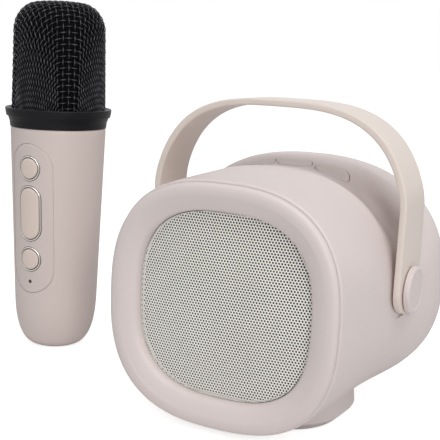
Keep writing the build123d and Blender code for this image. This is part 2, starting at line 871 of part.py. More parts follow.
def main_board():
    middle = axis_height + main_board_rise
    board = block(-main_board_width / 2, main_board_width / 2, seam_y + main_board_back,
                  seam_y + main_board_back + main_board_thickness,
                  middle - main_board_height / 2, middle + main_board_height / 2)
    for x, z in board_spots():
        board -= rod(screw_radius + screw_fit, main_board_back - 1,
                     main_board_back + main_board_thickness + 1, x, z)
    return board


def board_chips():
    """Amplifier, radio module and coil on the front side of the main board."""
    front = seam_y + main_board_back
    high = axis_height + main_board_rise
    amplifier = block(-20, -10, front - 1.6, front, high + 2, high + 9)
    radio = block(-4, 12, front - 2.4, front, high - 12, high + 1)
    choke = rod(4.0, main_board_back - 4.5, main_board_back, 20, high + 6)
    return [amplifier, radio, choke]


cell_y = seam_y + cell_back
cell_z = axis_height + cell_rise


def battery_cell():
    shoulder = cell_length / 2 - cell_tip_height
    tube = pin(cell_radius, -cell_length / 2, shoulder, cell_y, cell_z)
    return tube + pin(cell_tip_radius, shoulder, cell_length / 2, cell_y, cell_z)


def battery_cradle():
    """Open tray round the cell's lower half, on two feet shaped to the shell's floor."""
    reach = cell_radius + cradle_wall
    half = cell_length / 2 + 1.0
    bottom = cell_z - cell_radius - cradle_wall
    tray = block(-half - cradle_wall, half + cradle_wall, cell_y - reach, cell_y + reach, bottom,
                 cell_z)
    tray -= pin(cell_radius + fit, -half, half, cell_y, cell_z)
    feet = []
    for side in (-1, 1):
        x0, x1 = sorted((side * half * 0.78, side * half * 0.98))
        feet.append(block(x0, x1, cell_y - reach * 0.7, cell_y + reach * 0.7, 0, bottom + 0.5))
    return (tray + feet) & hull(wall + seat_gap)


# ---------------------------------------------------------------- shell
def corner_pads(spots, front):
    """Blocks that turn into screw pads where they lie inside the shell's corners."""
    pads = []
    for x, z in spots:
        up = copysign(1, z - axis_height)
        out = copysign(1, x)
        x0, x1 = sorted((x - out * corner_pad_side / 2, x + out * beyond))
        z0, z1 = sorted((z - up * corner_pad_side / 2, z + up * beyond))
        pads.append(block(x0, x1, seam_y + front, seam_y + front + corner_pad, z0, z1))
    return pads


def main_shell():
    """Housing open at both ends; what is left standing in its cavity are pads and bosses."""
    roof = axis_height + face_half_height
    kept = corner_pads(baffle_spots, baffle_rear + seat_gap)
    kept += corner_pads(cover_spots, cover_seat - seat_gap - corner_pad)
    kept += [channel_backing(side) for side in (-1, 1)]
    kept += [post(screw_radius + boss_wall, 0, foot_screw_seat + foot_screw_length, x, y)
             for x, y in foot_spots()]
    button_bosses = [under_button_board(side).origin for side in (-1, 1)]
    kept += [post(screw_radius + boss_wall, button_board_top + seat_gap, roof, spot.X, spot.Y)
             for spot in button_bosses]
    cuts = [cavity - kept]
    for side in (-1, 1):
        cuts.append(channel(side))
        cuts.append(pin(pin_radius + 0.02, side * (channel_floor - pin_reach - 0.5),
                        side * (channel_floor + 1), pivot_y, pivot_z))
    for x, z in baffle_spots:
        cuts.append(hole_for_screw(facing_front(x, baffle_front + screw_head_height, z),
                                   housing_screw_hole))
    for x, z in cover_spots:
        cuts.append(hole_for_screw(facing_rear(x, cover_screw_seat, z), housing_screw_hole))
    for x, y in foot_spots():
        cuts.append(hole_for_screw(facing_floor(x, y, foot_screw_seat), foot_screw_length))
    for side in (-1, 1):
        cuts.append(hole_for_screw(under_button_board(side), button_screw_length))
    for x in button_places:
        cuts.append(pill(button_length + 2 * button_gap, button_width + 2 * button_gap, x,
                         button_y, button_board_top + 2, roof + 12))
    return outer_hull - cuts


# ---------------------------------------------------------------- microphone
mic_collar_bottom = mic_shell_height
mic_collar_top = mic_shell_height + collar_height
mic_top = mic_collar_top + mesh_height
mesh_floor = mic_collar_top - mesh_socket
cup_floor = mesh_floor - cup_drop


def turned(profile):
    """Solid of revolution about the microphone's axis from (radius, height) points."""
    outline = [(x, z) for x, z in profile]
    edges = []
    for start, end in zip(outline, outline[1:] + outline[:1]):
        edges.append(Edge.make_line((start[0], 0, start[1]), (end[0], 0, end[1])))
    solid = revolve(Face(Wire(edges)), Axis.Z, 360)
    return solid.moved(Location((mic_x, mic_y, 0)))


def mic_radius(height):
    """Radius of the shell's straight taper."""
    share = (height - mic_waist_height) / (mic_shell_height - mic_waist_height)
    return mic_waist_radius + (mic_top_radius - mic_waist_radius) * share


def shell_body(grow, bottom, top):
    """Filled outside form of the shell, grown by grow; its lower end is a curve."""
    rest = mic_foot_radius + min(grow, 0)
    low = bottom
    start = Vector(max(rest, 0.1), 0, low)
    waist = Vector(mic_waist_radius + grow, 0, mic_waist_height)
    upper = Vector(mic_radius(top) + grow, 0, top)
    slope = Vector(mic_top_radius - mic_waist_radius, 0, mic_shell_height - mic_waist_height)
    curve = Edge.make_spline([start, waist], tangents=[Vector(1, 0, 0.16), slope.normalized()],
                             scale=True)
    edges = [curve, Edge.make_line(waist, upper), Edge.make_line(upper, (0, 0, top)),
             Edge.make_line((0, 0, top), (0, 0, low)), Edge.make_line((0, 0, low), start)]
    solid = revolve(Face(Wire(edges)), Axis.Z, 360)
    return solid.moved(Location((mic_x, mic_y, 0)))


def front_plug(radius, height, depth_from, depth_to):
    """Cylinder along Y at the microphone's front; depths are in front of its axis."""
    plane = Plane(origin=(mic_x, mic_y - depth_from, height), z_dir=(0, 1, 0))
    return Solid.make_cylinder(radius, depth_from - depth_to, plane)


def front_stadium(width, length, height, depth_from, depth_to):
    """Upright slot shape along Y at the microphone's front."""
    straight = (length - width) / 2
    body = block(mic_x - width / 2, mic_x + width / 2, mic_y - depth_from, mic_y - depth_to,
                 height - straight, height + straight)
    for end in (-1, 1):
        body += front_plug(width / 2, height + end * straight, depth_from, depth_to)
    return body


far = 40.0                   # beyond the microphone's skin
board_back = mic_y - mic_board_front + board_thickness
mic_cell_y = board_back + spine_thickness + mic_cell_radius - 0.8
mic_cell_bottom = mic_waist_height + shelf_thickness + seat_gap
mic_solid = shell_body(0.0, 0.0, mic_shell_height)
mic_cavity = shell_body(-mic_wall, mic_wall, mic_shell_height + 1)
panel_floor = shell_body(-mic_panel_depth, mic_panel_depth, mic_shell_height + 1)
round_buttons = [mic_button_rise, mic_mode_rise]
ring_radius = mic_button_radius + mic_button_gap + mic_ring_wall
switch_front = mic_board_front + switch_height + plunger_height
stem_front = switch_front + mic_button_travel + switch_gap


def mic_shell():
    body = mic_solid - mic_cavity
    pocket = front_stadium(mic_panel_width + 2 * fit, mic_panel_height + 2 * fit,
                           mic_panel_middle, far, 5)
    body -= (pocket - shell_body(-mic_panel_depth - 0.05, mic_panel_depth,
                                 mic_shell_height + 1))
    for height in round_buttons:
        body -= front_plug(mic_button_radius + mic_button_gap, height, far, 5)
    body -= front_stadium(mic_rocker_width + 2 * mic_button_gap,
                          mic_rocker_length + 2 * mic_button_gap, mic_rocker_rise, far, 5)
    body -= front_plug(mic_led_radius + 0.05, mic_led_rise, far, 5)
    return body - block(mic_x - usb_width / 2 - fit, mic_x + usb_width / 2 + fit,
                        mic_y - usb_height / 2 - fit, mic_y + usb_height / 2 + fit, -1, 8)


def mic_control_panel():
    tongue = front_stadium(mic_panel_width, mic_panel_height, mic_panel_middle, far, 5)
    body = (mic_solid & tongue) - panel_floor
    for height in round_buttons:
        body -= front_plug(ring_radius + 0.05, height, far, 5)
    body -= front_stadium(mic_rocker_width + 2 * (mic_button_gap + mic_ring_wall) + 0.1,
                          mic_rocker_length + 2 * (mic_button_gap + mic_ring_wall) + 0.1,
                          mic_rocker_rise, far, 5)
    return body - front_plug(mic_led_radius + 0.05, mic_led_rise, far, 5)


def mic_button_rings():
    band = shell_body(mic_ring_proud, 0.0, mic_shell_height) - panel_floor
    rings = []
    for height in round_buttons:
        tube = front_plug(ring_radius, height, far, 5)
        rings.append((band & tube) - front_plug(mic_button_radius + mic_button_gap, height, far, 5))
    wide = mic_rocker_width + 2 * mic_button_gap
    tall = mic_rocker_length + 2 * mic_button_gap
    tube = front_stadium(wide + 2 * mic_ring_wall, tall + 2 * mic_ring_wall, mic_rocker_rise,
                         far, 5)
    rings.append((band & tube) - front_stadium(wide, tall, mic_rocker_rise, far, 5))
    return rings


def mic_round_button(height):
    face_form = shell_body(mic_button_proud, 0.0, mic_shell_height)
    depth = mic_radius(height) - mic_button_depth
    cap = front_plug(mic_button_radius, height, far, depth) & face_form
    return cap + front_plug(1.5, height, depth + 0.5, stem_front)


def mic_volume_rocker():
    face_form = shell_body(mic_button_proud, 0.0, mic_shell_height)
    depth = mic_radius(mic_rocker_rise) - mic_button_depth
    cap = front_stadium(mic_rocker_width, mic_rocker_length, mic_rocker_rise, far, depth)
    body = cap & face_form
    for end in (-1, 1):
        height = mic_rocker_rise + end * rocker_switch_offset
        body += front_plug(1.5, height, depth + 0.5, stem_front)
    return body


rocker_switch_offset = mic_rocker_length / 2 - 4.5
switch_rises = [mic_mode_rise, mic_rocker_rise - rocker_switch_offset,
                mic_rocker_rise + rocker_switch_offset, mic_button_rise]


def mic_board():
    middle = (switch_rises[0] + switch_rises[-1]) / 2
    return block(mic_x - mic_board_width / 2, mic_x + mic_board_width / 2,
                 mic_y - mic_board_front, mic_y - mic_board_front + board_thickness,
                 middle - mic_board_length / 2, middle + mic_board_length / 2)


def mic_led_lens():
    return front_plug(mic_led_radius, mic_led_rise, far, mic_board_front) & mic_solid


def half_disc(height, thickness, radius):
    """Round shelf of the microphone's chassis, cut off at the board's back."""
    shelf = post(radius, height, height + thickness, mic_x, mic_y)
    return shelf - block(mic_x - far, mic_x + far, mic_y - far, board_back, 0, mic_top)


def mic_chassis():
    """Spine between two half-round shelves, with clips for the cell."""
    low = mic_waist_height
    high = mic_collar_bottom - collar_neck - chassis_top_gap - shelf_thickness
    spine = block(mic_x - mic_board_width / 2, mic_x + mic_board_width / 2, board_back,
                  board_back + spine_thickness, low, high)
    spine += half_disc(low, shelf_thickness, mic_waist_radius - mic_wall - fit)
    spine += half_disc(high, shelf_thickness, mic_radius(high) - mic_wall - fit)
    for share in (0.25, 0.75):
        middle = mic_cell_bottom + share * mic_cell_length
        clip = post(mic_cell_radius + clip_wall, middle - 3, middle + 3, mic_x, mic_cell_y)
        gate = block(mic_x - mic_cell_radius * 0.7, mic_x + mic_cell_radius * 0.7,
                     mic_cell_y + 2, mic_cell_y + 20, 0, mic_top)
        spine += clip - gate
    return spine - post(mic_cell_radius + seat_gap, mic_cell_bottom - seat_gap,
                        mic_cell_bottom + mic_cell_length + seat_gap, mic_x, mic_cell_y)


def mic_battery():
    return post(mic_cell_radius, mic_cell_bottom, mic_cell_bottom + mic_cell_length, mic_x,
                mic_cell_y)


def mic_collar():
    neck = mic_top_radius - mic_wall - fit
    bore = mesh_radius - mesh_sheet - foam_thickness
    low = mic_collar_bottom
    high = mic_collar_top
    rim_low = high - collar_rim
    profile = [(bore, low - collar_neck), (neck - 0.4, low - collar_neck), (neck, low + 0.05),
               (mic_top_radius + 0.5, low + 0.05), (mic_top_radius + 1.3, rim_low - 0.2),
               (collar_radius - 0.4, rim_low), (collar_radius, rim_low + 1.3),
               (collar_radius - 0.2, high - 1.0), (collar_radius - 0.9, high),
               (mesh_radius + fit, high), (mesh_radius + fit, mesh_floor),
               (bore, mesh_floor)]
    return turned(profile)


def dome_profile(inset, bottom):
    """Side of the head: straight wall, round shoulder, flat crown."""
    side = mesh_radius - inset
    top = mic_top - inset
    crown = mesh_crown_radius
    shoulder = top - mesh_shoulder
    return [Vector(side, 0, bottom), Vector(side - 0.35, 0, shoulder), Vector(crown, 0, top)]


def dome(inset, bottom):
    foot, shoulder, crown = dome_profile(inset, bottom)
    curve = Edge.make_spline([shoulder, crown], tangents=[Vector(-0.03, 0, 1), Vector(-1, 0, 0.12)],
                             scale=True)
    edges = [Edge.make_line((0, 0, bottom), foot), Edge.make_line(foot, shoulder), curve,
             Edge.make_line(crown, (0, 0, crown.Z)), Edge.make_line((0, 0, crown.Z), (0, 0, bottom))]
    solid = revolve(Face(Wire(edges)), Axis.Z, 360)
    return solid.moved(Location((mic_x, mic_y, 0)))


def mic_head_mesh():
    seat = mesh_floor + seat_gap
    return dome(0.0, seat) - dome(mesh_sheet, seat - 1)


def mic_foam_liner():
    seat = mesh_floor + seat_gap
    gap = mesh_sheet + fit
    return dome(gap, seat) - dome(gap + foam_thickness, seat - 1)


def mic_capsule_holder():
    radius = mesh_radius - mesh_sheet - foam_thickness - 0.3
    cup = post(radius, cup_floor, cup_floor + 3, mic_x, mic_y)
    cup += post(capsule_radius + 2, cup_floor, cup_floor + cup_height, mic_x, mic_y)
    return cup - post(capsule_radius + seat_gap, cup_floor + cup_bottom,
                      cup_floor + cup_height + 1, mic_x, mic_y)


def mic_capsule():
    seat = cup_floor + cup_bottom + 0.05
    body = post(capsule_radius, seat, seat + capsule_height, mic_x, mic_y)
    return body + post(capsule_radius - 1.5, seat + capsule_height - 0.01,
                       seat + capsule_height + 0.8, mic_x, mic_y)


def mic_usb_socket():
    shell = block(mic_x - usb_width / 2, mic_x + usb_width / 2, mic_y - usb_height / 2,
                  mic_y + usb_height / 2, 0.6, usb_depth + 2)
    mouth = block(mic_x - usb_mouth_width / 2, mic_x + usb_mouth_width / 2,
                  mic_y - usb_mouth_height / 2, mic_y + usb_mouth_height / 2, 0, usb_depth)
    tongue = block(mic_x - usb_mouth_width / 2 + 0.8, mic_x + usb_mouth_width / 2 - 0.8,
                   mic_y - 0.35, mic_y + 0.35, 2.0, usb_depth + 0.5)
    return (shell - mouth) + tongue


# ---------------------------------------------------------------- screws


def baffle_screws():
    length = housing_screw_hole - screw_spare
    return [head_screw(facing_front(x, baffle_front + screw_head_height, z), length)
            for x, z in baffle_spots]


def driver_screws():
    length = driver_screw_length - screw_spare
    return [head_screw(facing_rear(x, flange_rear, z), length) for x, z in driver_spots()]


def rear_cover_screws():
    length = housing_screw_hole - screw_spare
    return [head_screw(facing_rear(x, cover_screw_seat, z), length) for x, z in cover_spots]


def foot_screws():
    return [head_screw(facing_floor(x, y, foot_screw_seat), foot_screw_length - screw_spare)
            for x, y in foot_spots()]


def main_board_screws():
    return [head_screw(facing_front(x, main_board_back, z), board_screw_length)
            for x, z in board_spots()]


def mic_tact_switches():
    return [tact_switch((mic_x, mic_y - mic_board_front, height), (0, -1, 0))
            for height in switch_rises]


# ---------------------------------------------------------------- write the nodes
save("front_bezel", front_bezel())
save("speaker_grille", speaker_grille())
save("main_shell", main_shell())
save("rear_cover", rear_cover())
save("rear_cover_screws", *rear_cover_screws())

save("driver_baffle", driver_baffle())
save("baffle_screws", *baffle_screws())
save("driver_basket", driver_basket())
save("driver_screws", *driver_screws())
save("driver_magnet", driver_magnet())
save("driver_cone", driver_cone())
save("driver_surround", driver_surround())
save("driver_spider", driver_spider())
save("voice_coil", voice_coil())
save("dust_cap", dust_cap())

save("handle_strap", handle_strap())
save("handle_pins", handle_pin(-1), handle_pin(1))
save("left_handle_cap", handle_cap(-1))
save("right_handle_cap", handle_cap(1))

for name, x in zip(("volume_down_button", "play_button", "volume_up_button"), button_places):
    save(name, top_button(x))
save("button_board", button_board())
save("button_board_screws", *button_board_screws())
save("tact_switches", *tact_switches())

save("base_foot", base_foot())
save("foot_pad", foot_pad())
save("foot_screws", *foot_screws())

save("port_panel", port_panel())
save("usb_c_socket", usb_c_socket())
save("aux_socket", aux_socket())
save("card_slot", card_slot())
save("main_board", main_board())
save("main_board_screws", *main_board_screws())
save("board_chips", *board_chips())
save("battery_cell", battery_cell())
save("battery_cradle", battery_cradle())

save("mic_shell", mic_shell())
save("mic_control_panel", mic_control_panel())
save("mic_button_rings", *mic_button_rings())
save("mic_power_button", mic_round_button(mic_button_rise))
save("mic_mode_button", mic_round_button(mic_mode_rise))
save("mic_volume_rocker", mic_volume_rocker())
save("mic_led_lens", mic_led_lens())
save("mic_chassis", mic_chassis())
save("mic_board", mic_board())
save("mic_tact_switches", *mic_tact_switches())
save("mic_battery", mic_battery())
save("mic_collar", mic_collar())
save("mic_head_mesh", mic_head_mesh())
save("mic_foam_liner", mic_foam_liner())
save("mic_capsule_holder", mic_capsule_holder())
save("mic_capsule", mic_capsule())
save("mic_usb_socket", mic_usb_socket())
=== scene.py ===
"""Mini karaoke speaker with a swinging handle and its wireless microphone: looks and lighting."""
from math import ceil, cos, hypot, pi, radians, sin, sqrt

import bpy
import numpy as np
from mathutils import Matrix, Vector
from mathutils.bvhtree import BVHTree


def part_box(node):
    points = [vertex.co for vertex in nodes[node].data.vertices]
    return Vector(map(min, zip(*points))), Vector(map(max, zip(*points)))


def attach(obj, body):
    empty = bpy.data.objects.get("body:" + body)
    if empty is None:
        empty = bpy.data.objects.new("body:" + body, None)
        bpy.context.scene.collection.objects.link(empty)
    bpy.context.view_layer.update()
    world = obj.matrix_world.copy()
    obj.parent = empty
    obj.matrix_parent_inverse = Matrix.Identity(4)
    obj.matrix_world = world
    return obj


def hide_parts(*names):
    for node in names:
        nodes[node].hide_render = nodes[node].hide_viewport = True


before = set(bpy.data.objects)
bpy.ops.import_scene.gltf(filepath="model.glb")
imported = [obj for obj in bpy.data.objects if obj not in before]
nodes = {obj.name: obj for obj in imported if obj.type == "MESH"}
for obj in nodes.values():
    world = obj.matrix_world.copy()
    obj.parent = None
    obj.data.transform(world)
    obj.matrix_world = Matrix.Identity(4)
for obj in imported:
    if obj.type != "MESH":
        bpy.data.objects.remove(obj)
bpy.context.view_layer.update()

MM = 0.001

# ---------------------------------------------------------------- sizes, in millimetres
face_half_width, face_half_height, face_squareness = 46.0, 45.0, 2.61
axis_height = 47.5
seam_y, seam_gap = -42.0, 0.6
bezel_back, spigot_back, spigot_front, spigot_step = 0.12, 5.6, 4.2, 3.35
wall, fit = 2.2, 0.15
outline_points = 192

# back, flare, rise, drop and squareness of the housing's outlines
hull_stations = np.array([
    (0.6, 0.7, 0.9, 0.7, 2.60), (14.0, 2.1, 1.6, 0.6, 2.54), (28.0, 3.2, 2.0, 0.3, 2.50),
    (39.0, 4.0, 2.3, 0.1, 2.47), (47.0, 4.8, 2.5, 0.0, 2.45), (54.0, 6.0, 3.0, 0.0, 2.43),
    (61.0, 7.5, 3.7, -0.1, 2.42), (68.0, 9.2, 4.5, -0.3, 2.42), (76.0, 10.8, 5.0, -0.8, 2.42),
    (84.0, 10.8, 4.4, -1.8, 2.41), (89.5, 9.3, 2.8, -3.3, 2.40), (93.0, 7.0, 0.4, -5.4, 2.40)])
valley_depth, valley_back = 5.0, 57.5
valley_front_run, valley_rear_run = 18.0, 14.5
# degrees up from the side: where the valley starts and is full, and where it shallows and how far
valley_start, valley_full, shallow_start, shallow_end, shallowing = 5, 37, 50, 88, 0.7

grille_half_width, grille_half_height, grille_squareness = 35.2, 34.5, 2.75
grille_front, grille_dome, dome_reach = 3.25, 1.4, 24.0
hole_pitch, hole_diameter, sheet_thickness = 1.165, 0.83, 0.2
grille_gap, flange_front, flange_back, flange_width = 0.25, 4.35, 4.95, 3.2
# depths and growth of the dark ring of painted shade in the gap round the grille
shade_ring_front, shade_ring_back, shade_ring_grow = 3.7, 4.3, 0.05

pivot_y, pivot_z = 9.0, 53.0
root_half_width, arch_half_width = 53.6, 55.8
arch_height, arch_squareness = 67.5, 3.1
strap_thickness, strap_rounding = 2.6, 0.75
root_radius, root_drop, crown_half_width = 12.0, 9.4, 10.0
leg_straight, leg_bow_run = 14.0, 24.0
channel_floor, channel_outside, channel_gap, channel_rise = 50.5, 66.0, 0.5, 70.0
swing_back, swing_forward = radians(2.0), radians(42.0)
cap_radius = 9.0

button_pitch, button_length, button_width, button_y = 16.0, 14.0, 9.0, 18.0
button_gap, button_proud = 0.3, 0.35
button_bottom, button_hole_low, button_hole_high = 87.0, 82.0, 110.0

mic_x, mic_y = -116.5, 15.4
mic_foot_radius, mic_waist_radius, mic_top_radius = 9.0, 18.7, 21.2
mic_waist_height, mic_shell_height = 24.0, 100.4
mic_wall = 1.8
collar_radius, collar_height, collar_neck = 23.8, 8.6, 12.0
collar_top = mic_shell_height + collar_height
mesh_radius, mesh_height, mesh_shoulder = 21.0, 47.0, 12.5
mesh_top, mesh_seat = collar_top + mesh_height, collar_top - 3.9
wire_pitch, wire_radius, wire_wave = 2.5, 0.2, 0.33
mesh_top_radius, mesh_flat, mesh_dome = 20.35, 10.0, 0.6
weave_turn = radians(-41.0)
straight_turn, straight_narrowing, crowding_ramp = radians(15.0), radians(6.5), radians(5.0)
narrowing_depth = 42.0
panel_middle, panel_width, panel_height = 60.5, 21.5, 67.0
panel_back, pocket_back = -0.85, -0.95
power_rise, mode_rise, key_radius = 83.1, 42.35, 4.5
rocker_rise, rocker_width, rocker_length = 63.0, 9.8, 22.8
lamp_rise, lamp_diameter, lamp_gap = 32.1, 1.6, 0.05
ring_gap, ring_wall, ring_proud, key_proud, key_depth = 0.32, 0.68, 0.35, 0.7, 3.2
# gap_shade_wall: width of the dark ring of painted shade outside each plated ring
gap_shade_wall, key_gap, rocker_gap = 0.2, 0.04, 0.16
socket_width, socket_height = 8.94, 3.26

# ---------------------------------------------------------------- studio levels; metres
sky_level, floor_glow, lamp_distance = 0.386, 0.72, 1.1


# ---------------------------------------------------------------- node trees from Python
class Value:
    """A socket in Python arithmetic: each operation adds its Math node."""

    def __init__(self, tree, socket):
        self.tree, self.socket = tree, socket

    def math(self, operation, *others):
        return self.tree.math(operation, self, *others)

    def __add__(self, other):
        return self.math("ADD", other)

    def __sub__(self, other):
        return self.math("SUBTRACT", other)

    def __rsub__(self, other):
        return self.tree.math("SUBTRACT", other, self)

    def __mul__(self, other):
        return self.math("MULTIPLY", other)

    def __truediv__(self, other):
        return self.math("DIVIDE", other)

    def __rtruediv__(self, other):
        return self.tree.math("DIVIDE", other, self)

    def __pow__(self, other):
        return self.math("POWER", other)

    def __lt__(self, other):
        return self.math("LESS_THAN", other)

    def __gt__(self, other):
        return self.math("GREATER_THAN", other)

    __radd__ = __add__
    __rmul__ = __mul__


class Tree:
    """A node tree in the making, for a finish or for a repeated pattern."""

    def __init__(self, tree):
        self.tree = tree

    def join(self, value, socket):
        if isinstance(value, list):
            for one in value:
                self.join(one, socket)
        elif isinstance(value, Value):
            self.tree.links.new(value.socket, socket)
        else:
            socket.default_value = value

    def add(self, kind, sockets=None, result=0, **settings):
        """One node: its settings first, then the values or links of its sockets."""
        node = self.tree.nodes.new(kind)
        for key, value in settings.items():
            setattr(node, key, value)
        for key, value in (sockets or {}).items():
            self.join(value, node.inputs[key])
        return Value(self, node.outputs[result])

    def math(self, operation, *operands):
        return self.add("ShaderNodeMath", dict(enumerate(operands)), operation=operation)

    def vector(self, x=0.0, y=0.0, z=0.0):
        return self.add("ShaderNodeCombineXYZ", {"X": x, "Y": y, "Z": z})

    def rays(self, kind):
        """1 for rays of one kind and 0 for others."""
        return self.add("ShaderNodeLightPath", None, f"Is {kind} Ray")

    def parts(self, vector):
        """X, Y and Z of a vector."""
        node = self.add("ShaderNodeSeparateXYZ", {0: vector}).socket.node
        return [Value(self, output) for output in node.outputs]


class Finish(Tree):
    """A material whose varying values end in one Principled shader."""

    def __init__(self, name, colour, roughness, metallic=0.0, **uniform):
        self.material = bpy.data.materials.new(name)
        self.material.use_nodes = True
        super().__init__(self.material.node_tree)
        self.shader = self.tree.nodes["Principled BSDF"]
        self.colour = (*colour, 1.0)
        uniform.update(Base_Color=self.colour, Roughness=roughness, Metallic=metallic)
        for key, value in uniform.items():
            self.shader.inputs[key.replace("_", " ")].default_value = value
        self.place = self.add("ShaderNodeTexCoord", None, "Object")
        self.height = None

    def noise(self, scale, detail=2.0, stretch=None, roughness=0.5):
        """Cloudy value about 0.5; scale is in features per metre."""
        place = self.place
        if stretch:
            place = self.add("ShaderNodeMapping", {"Vector": place, "Scale": stretch})
        return self.add("ShaderNodeTexNoise",
                        {"Vector": place, "Scale": scale, "Detail": detail,
                         "Roughness": roughness})

    def cells(self, scale):
        return self.add("ShaderNodeTexVoronoi", {"Vector": self.place, "Scale": scale},
                        "Distance")

    def ramp(self, value, low, high, bottom=0.0, top=1.0):
        """Value mapped from low..high to bottom..top, held at the ends."""
        return self.add("ShaderNodeMapRange",
                        {"Value": value, "From Min": low, "From Max": high, "To Min": bottom,
                         "To Max": top}, clamp=True)

    def tint(self, mask, colour):
        """Base colour leans to another colour where the mask is 1."""
        base = self.colour
        socket = self.shader.inputs["Base Color"]
        if socket.is_linked:
            base = Value(self, socket.links[0].from_socket)
        mixed = self.add("ShaderNodeMix", {0: mask, 6: base, 7: (*colour, 1.0)}, 2,
                         data_type="RGBA")
        self.join(mixed, socket)

    def tone(self, value, low, high, most, factor):
        """Colour darkened or lightened by a factor as a value goes from low to high."""
        self.tint(self.ramp(value, low, high, 0.0, most), shade(self.colour[:3], factor))

    def rough(self, value):
        self.join(value, self.shader.inputs["Roughness"])

    def raise_by(self, value, depth):
        """Relief from a value; depth in metres."""
        relief = value * (depth / MM)
        self.height = relief if self.height is None else self.height + relief

    def done(self):
        bump = self.add("ShaderNodeBump",
                        {"Strength": 1.0, "Distance": MM, "Height": self.height})
        self.join(bump, self.shader.inputs["Normal"])
        return self.material


def shade(colour, factor):
    return tuple(channel * factor for channel in colour)


def srgb(red, green, blue):
    """Colour written as display values 0 to 255."""
    def linear(value):
        value /= 255
        return value / 12.92 if value <= 0.04045 else ((value + 0.055) / 1.055) ** 2.4
    return linear(red), linear(green), linear(blue)


def moulded_plastic(name, colour, roughness=0.42, grain=5e-6, gloss=0.5):
    """Injection-moulded plastic: fine eroded grain, slow tone changes, light handling marks."""
    finish = Finish(name, colour, roughness, IOR=1.47, Specular_IOR_Level=gloss)
    clouds = finish.noise(28.0, 3.0)
    finish.tone(clouds, 0.35, 0.75, 0.5, 0.955)
    specks = finish.noise(900.0, 1.0)
    finish.tone(specks, 0.60, 0.80, 0.35, 1.03)
    smears = finish.noise(60.0, 4.0, (1.0, 1.0, 0.35))
    finish.rough(finish.ramp(smears, 0.3, 0.75, roughness - 0.05, roughness + 0.07))
    finish.raise_by(finish.noise(1500.0, 3.0, None, 0.6), grain)
    finish.raise_by(finish.noise(45.0, 1.0), 1.2e-5)
    return finish.done()


def painted_metal(name, colour, roughness=0.45):
    """Powder-coated steel: small orange peel and an uneven tone."""
    finish = Finish(name, colour, roughness, IOR=1.5)
    finish.tone(finish.noise(35.0, 3.0), 0.35, 0.7, 0.6, 0.95)
    peel = finish.noise(300.0, 2.0)
    finish.rough(finish.ramp(peel, 0.3, 0.7, roughness - 0.06, roughness + 0.08))
    finish.raise_by(finish.noise(700.0, 2.0), 8e-6)
    return finish.done()


def woven_wire(name, colour, crown_highlight):
    """Black lacquered wire with a painted highlight: tinted lighter on the crowns of the weave,
    where light catches.
    """
    finish = Finish(name, colour, 0.34, IOR=1.45, Specular_IOR_Level=0.3)
    crown = finish.add("ShaderNodeAttribute", None, "Fac", attribute_name="crown")
    patches = finish.ramp(finish.noise(260.0, 3.0), 0.35, 0.7, 0.35, 1.0)
    # painted highlight: the crowns of the weave are tinted lighter, in random patches
    finish.tint(finish.ramp(crown, 0.55, 1.0) * patches, crown_highlight)
    finish.rough(finish.ramp(crown, 0.0, 1.0, 0.5, 0.3))
    finish.raise_by(finish.noise(1800.0, 2.0), 6e-6)
    return finish.done()


def turned_metal(name, colour, roughness):
    """Bare or plated metal with fine lines and a little tarnish."""
    finish = Finish(name, colour, roughness, 1.0)
    lines = finish.noise(500.0, 4.0, (1.0, 1.0, 40.0))
    finish.rough(finish.ramp(lines, 0.3, 0.7, roughness * 0.7, roughness * 1.35))
    finish.tone(finish.noise(120.0, 3.0), 0.45, 0.8, 0.4, 0.78)
    finish.raise_by(lines, 1.5e-6)
    return finish.done()


def soft_rubber(name, colour):
    finish = Finish(name, colour, 0.78, IOR=1.45)
    finish.tone(finish.noise(180.0, 4.0), 0.4, 0.75, 0.7, 1.7)
    finish.raise_by(finish.cells(900.0), 2e-5)
    return finish.done()


def open_foam(name, colour):
    """Open-cell foam: pores of half a millimetre, darkened inside with painted shade."""
    finish = Finish(name, colour, 0.95, Specular_IOR_Level=0.08)
    pores = finish.cells(1700.0)
    # painted shade: the pits of the pores are tinted darker
    finish.tint(finish.ramp(pores, 0.05, 0.45, 1.0, 0.0), shade(colour, 0.25))
    finish.raise_by(pores, 2.2e-4)
    return finish.done()


def pressed_paper(name, colour):
    finish = Finish(name, colour, 0.85)
    fibres = finish.noise(260.0, 6.0, (1.0, 1.0, 3.0), 0.7)
    finish.tone(fibres, 0.42, 0.7, 1.0, 1.9)
    finish.raise_by(fibres, 8e-5)
    return finish.done()


def circuit_board(name, colour):
    """Lacquered board with tracks of brighter copper under the lacquer."""
    finish = Finish(name, colour, 0.35)
    flat = finish.add("ShaderNodeMapping",
                      {"Vector": finish.place, "Rotation": (radians(90), 0, 0)})
    tracks = finish.add("ShaderNodeTexBrick",
                        {"Vector": flat, "Scale": 260.0, "Mortar Size": 0.035,
                         "Brick Width": 0.9, "Row Height": 0.35}, "Fac", offset=0.37)
    finish.tint(tracks, shade(colour, 2.2))
    finish.tint(finish.ramp(finish.noise(700.0, 2.0), 0.62, 0.66), srgb(196, 178, 120))
    finish.raise_by(tracks, 2e-5)
    return finish.done()


def dull_ferrite(name, colour):
    finish = Finish(name, colour, 0.6)
    finish.tone(finish.noise(800.0, 5.0), 0.5, 0.7, 0.8, 1.8)
    finish.raise_by(finish.noise(1200.0, 4.0), 3e-5)
    return finish.done()


def wound_copper(name, colour):
    """Enamelled wire in close turns."""
    finish = Finish(name, colour, 0.3, 1.0)
    turns = finish.add("ShaderNodeTexWave",
                       {"Vector": finish.place, "Scale": 800.0, "Distortion": 0.4},
                       bands_direction="Y")
    finish.tint(turns, shade(colour, 0.45))
    finish.raise_by(turns, 6e-5)
    return finish.done()


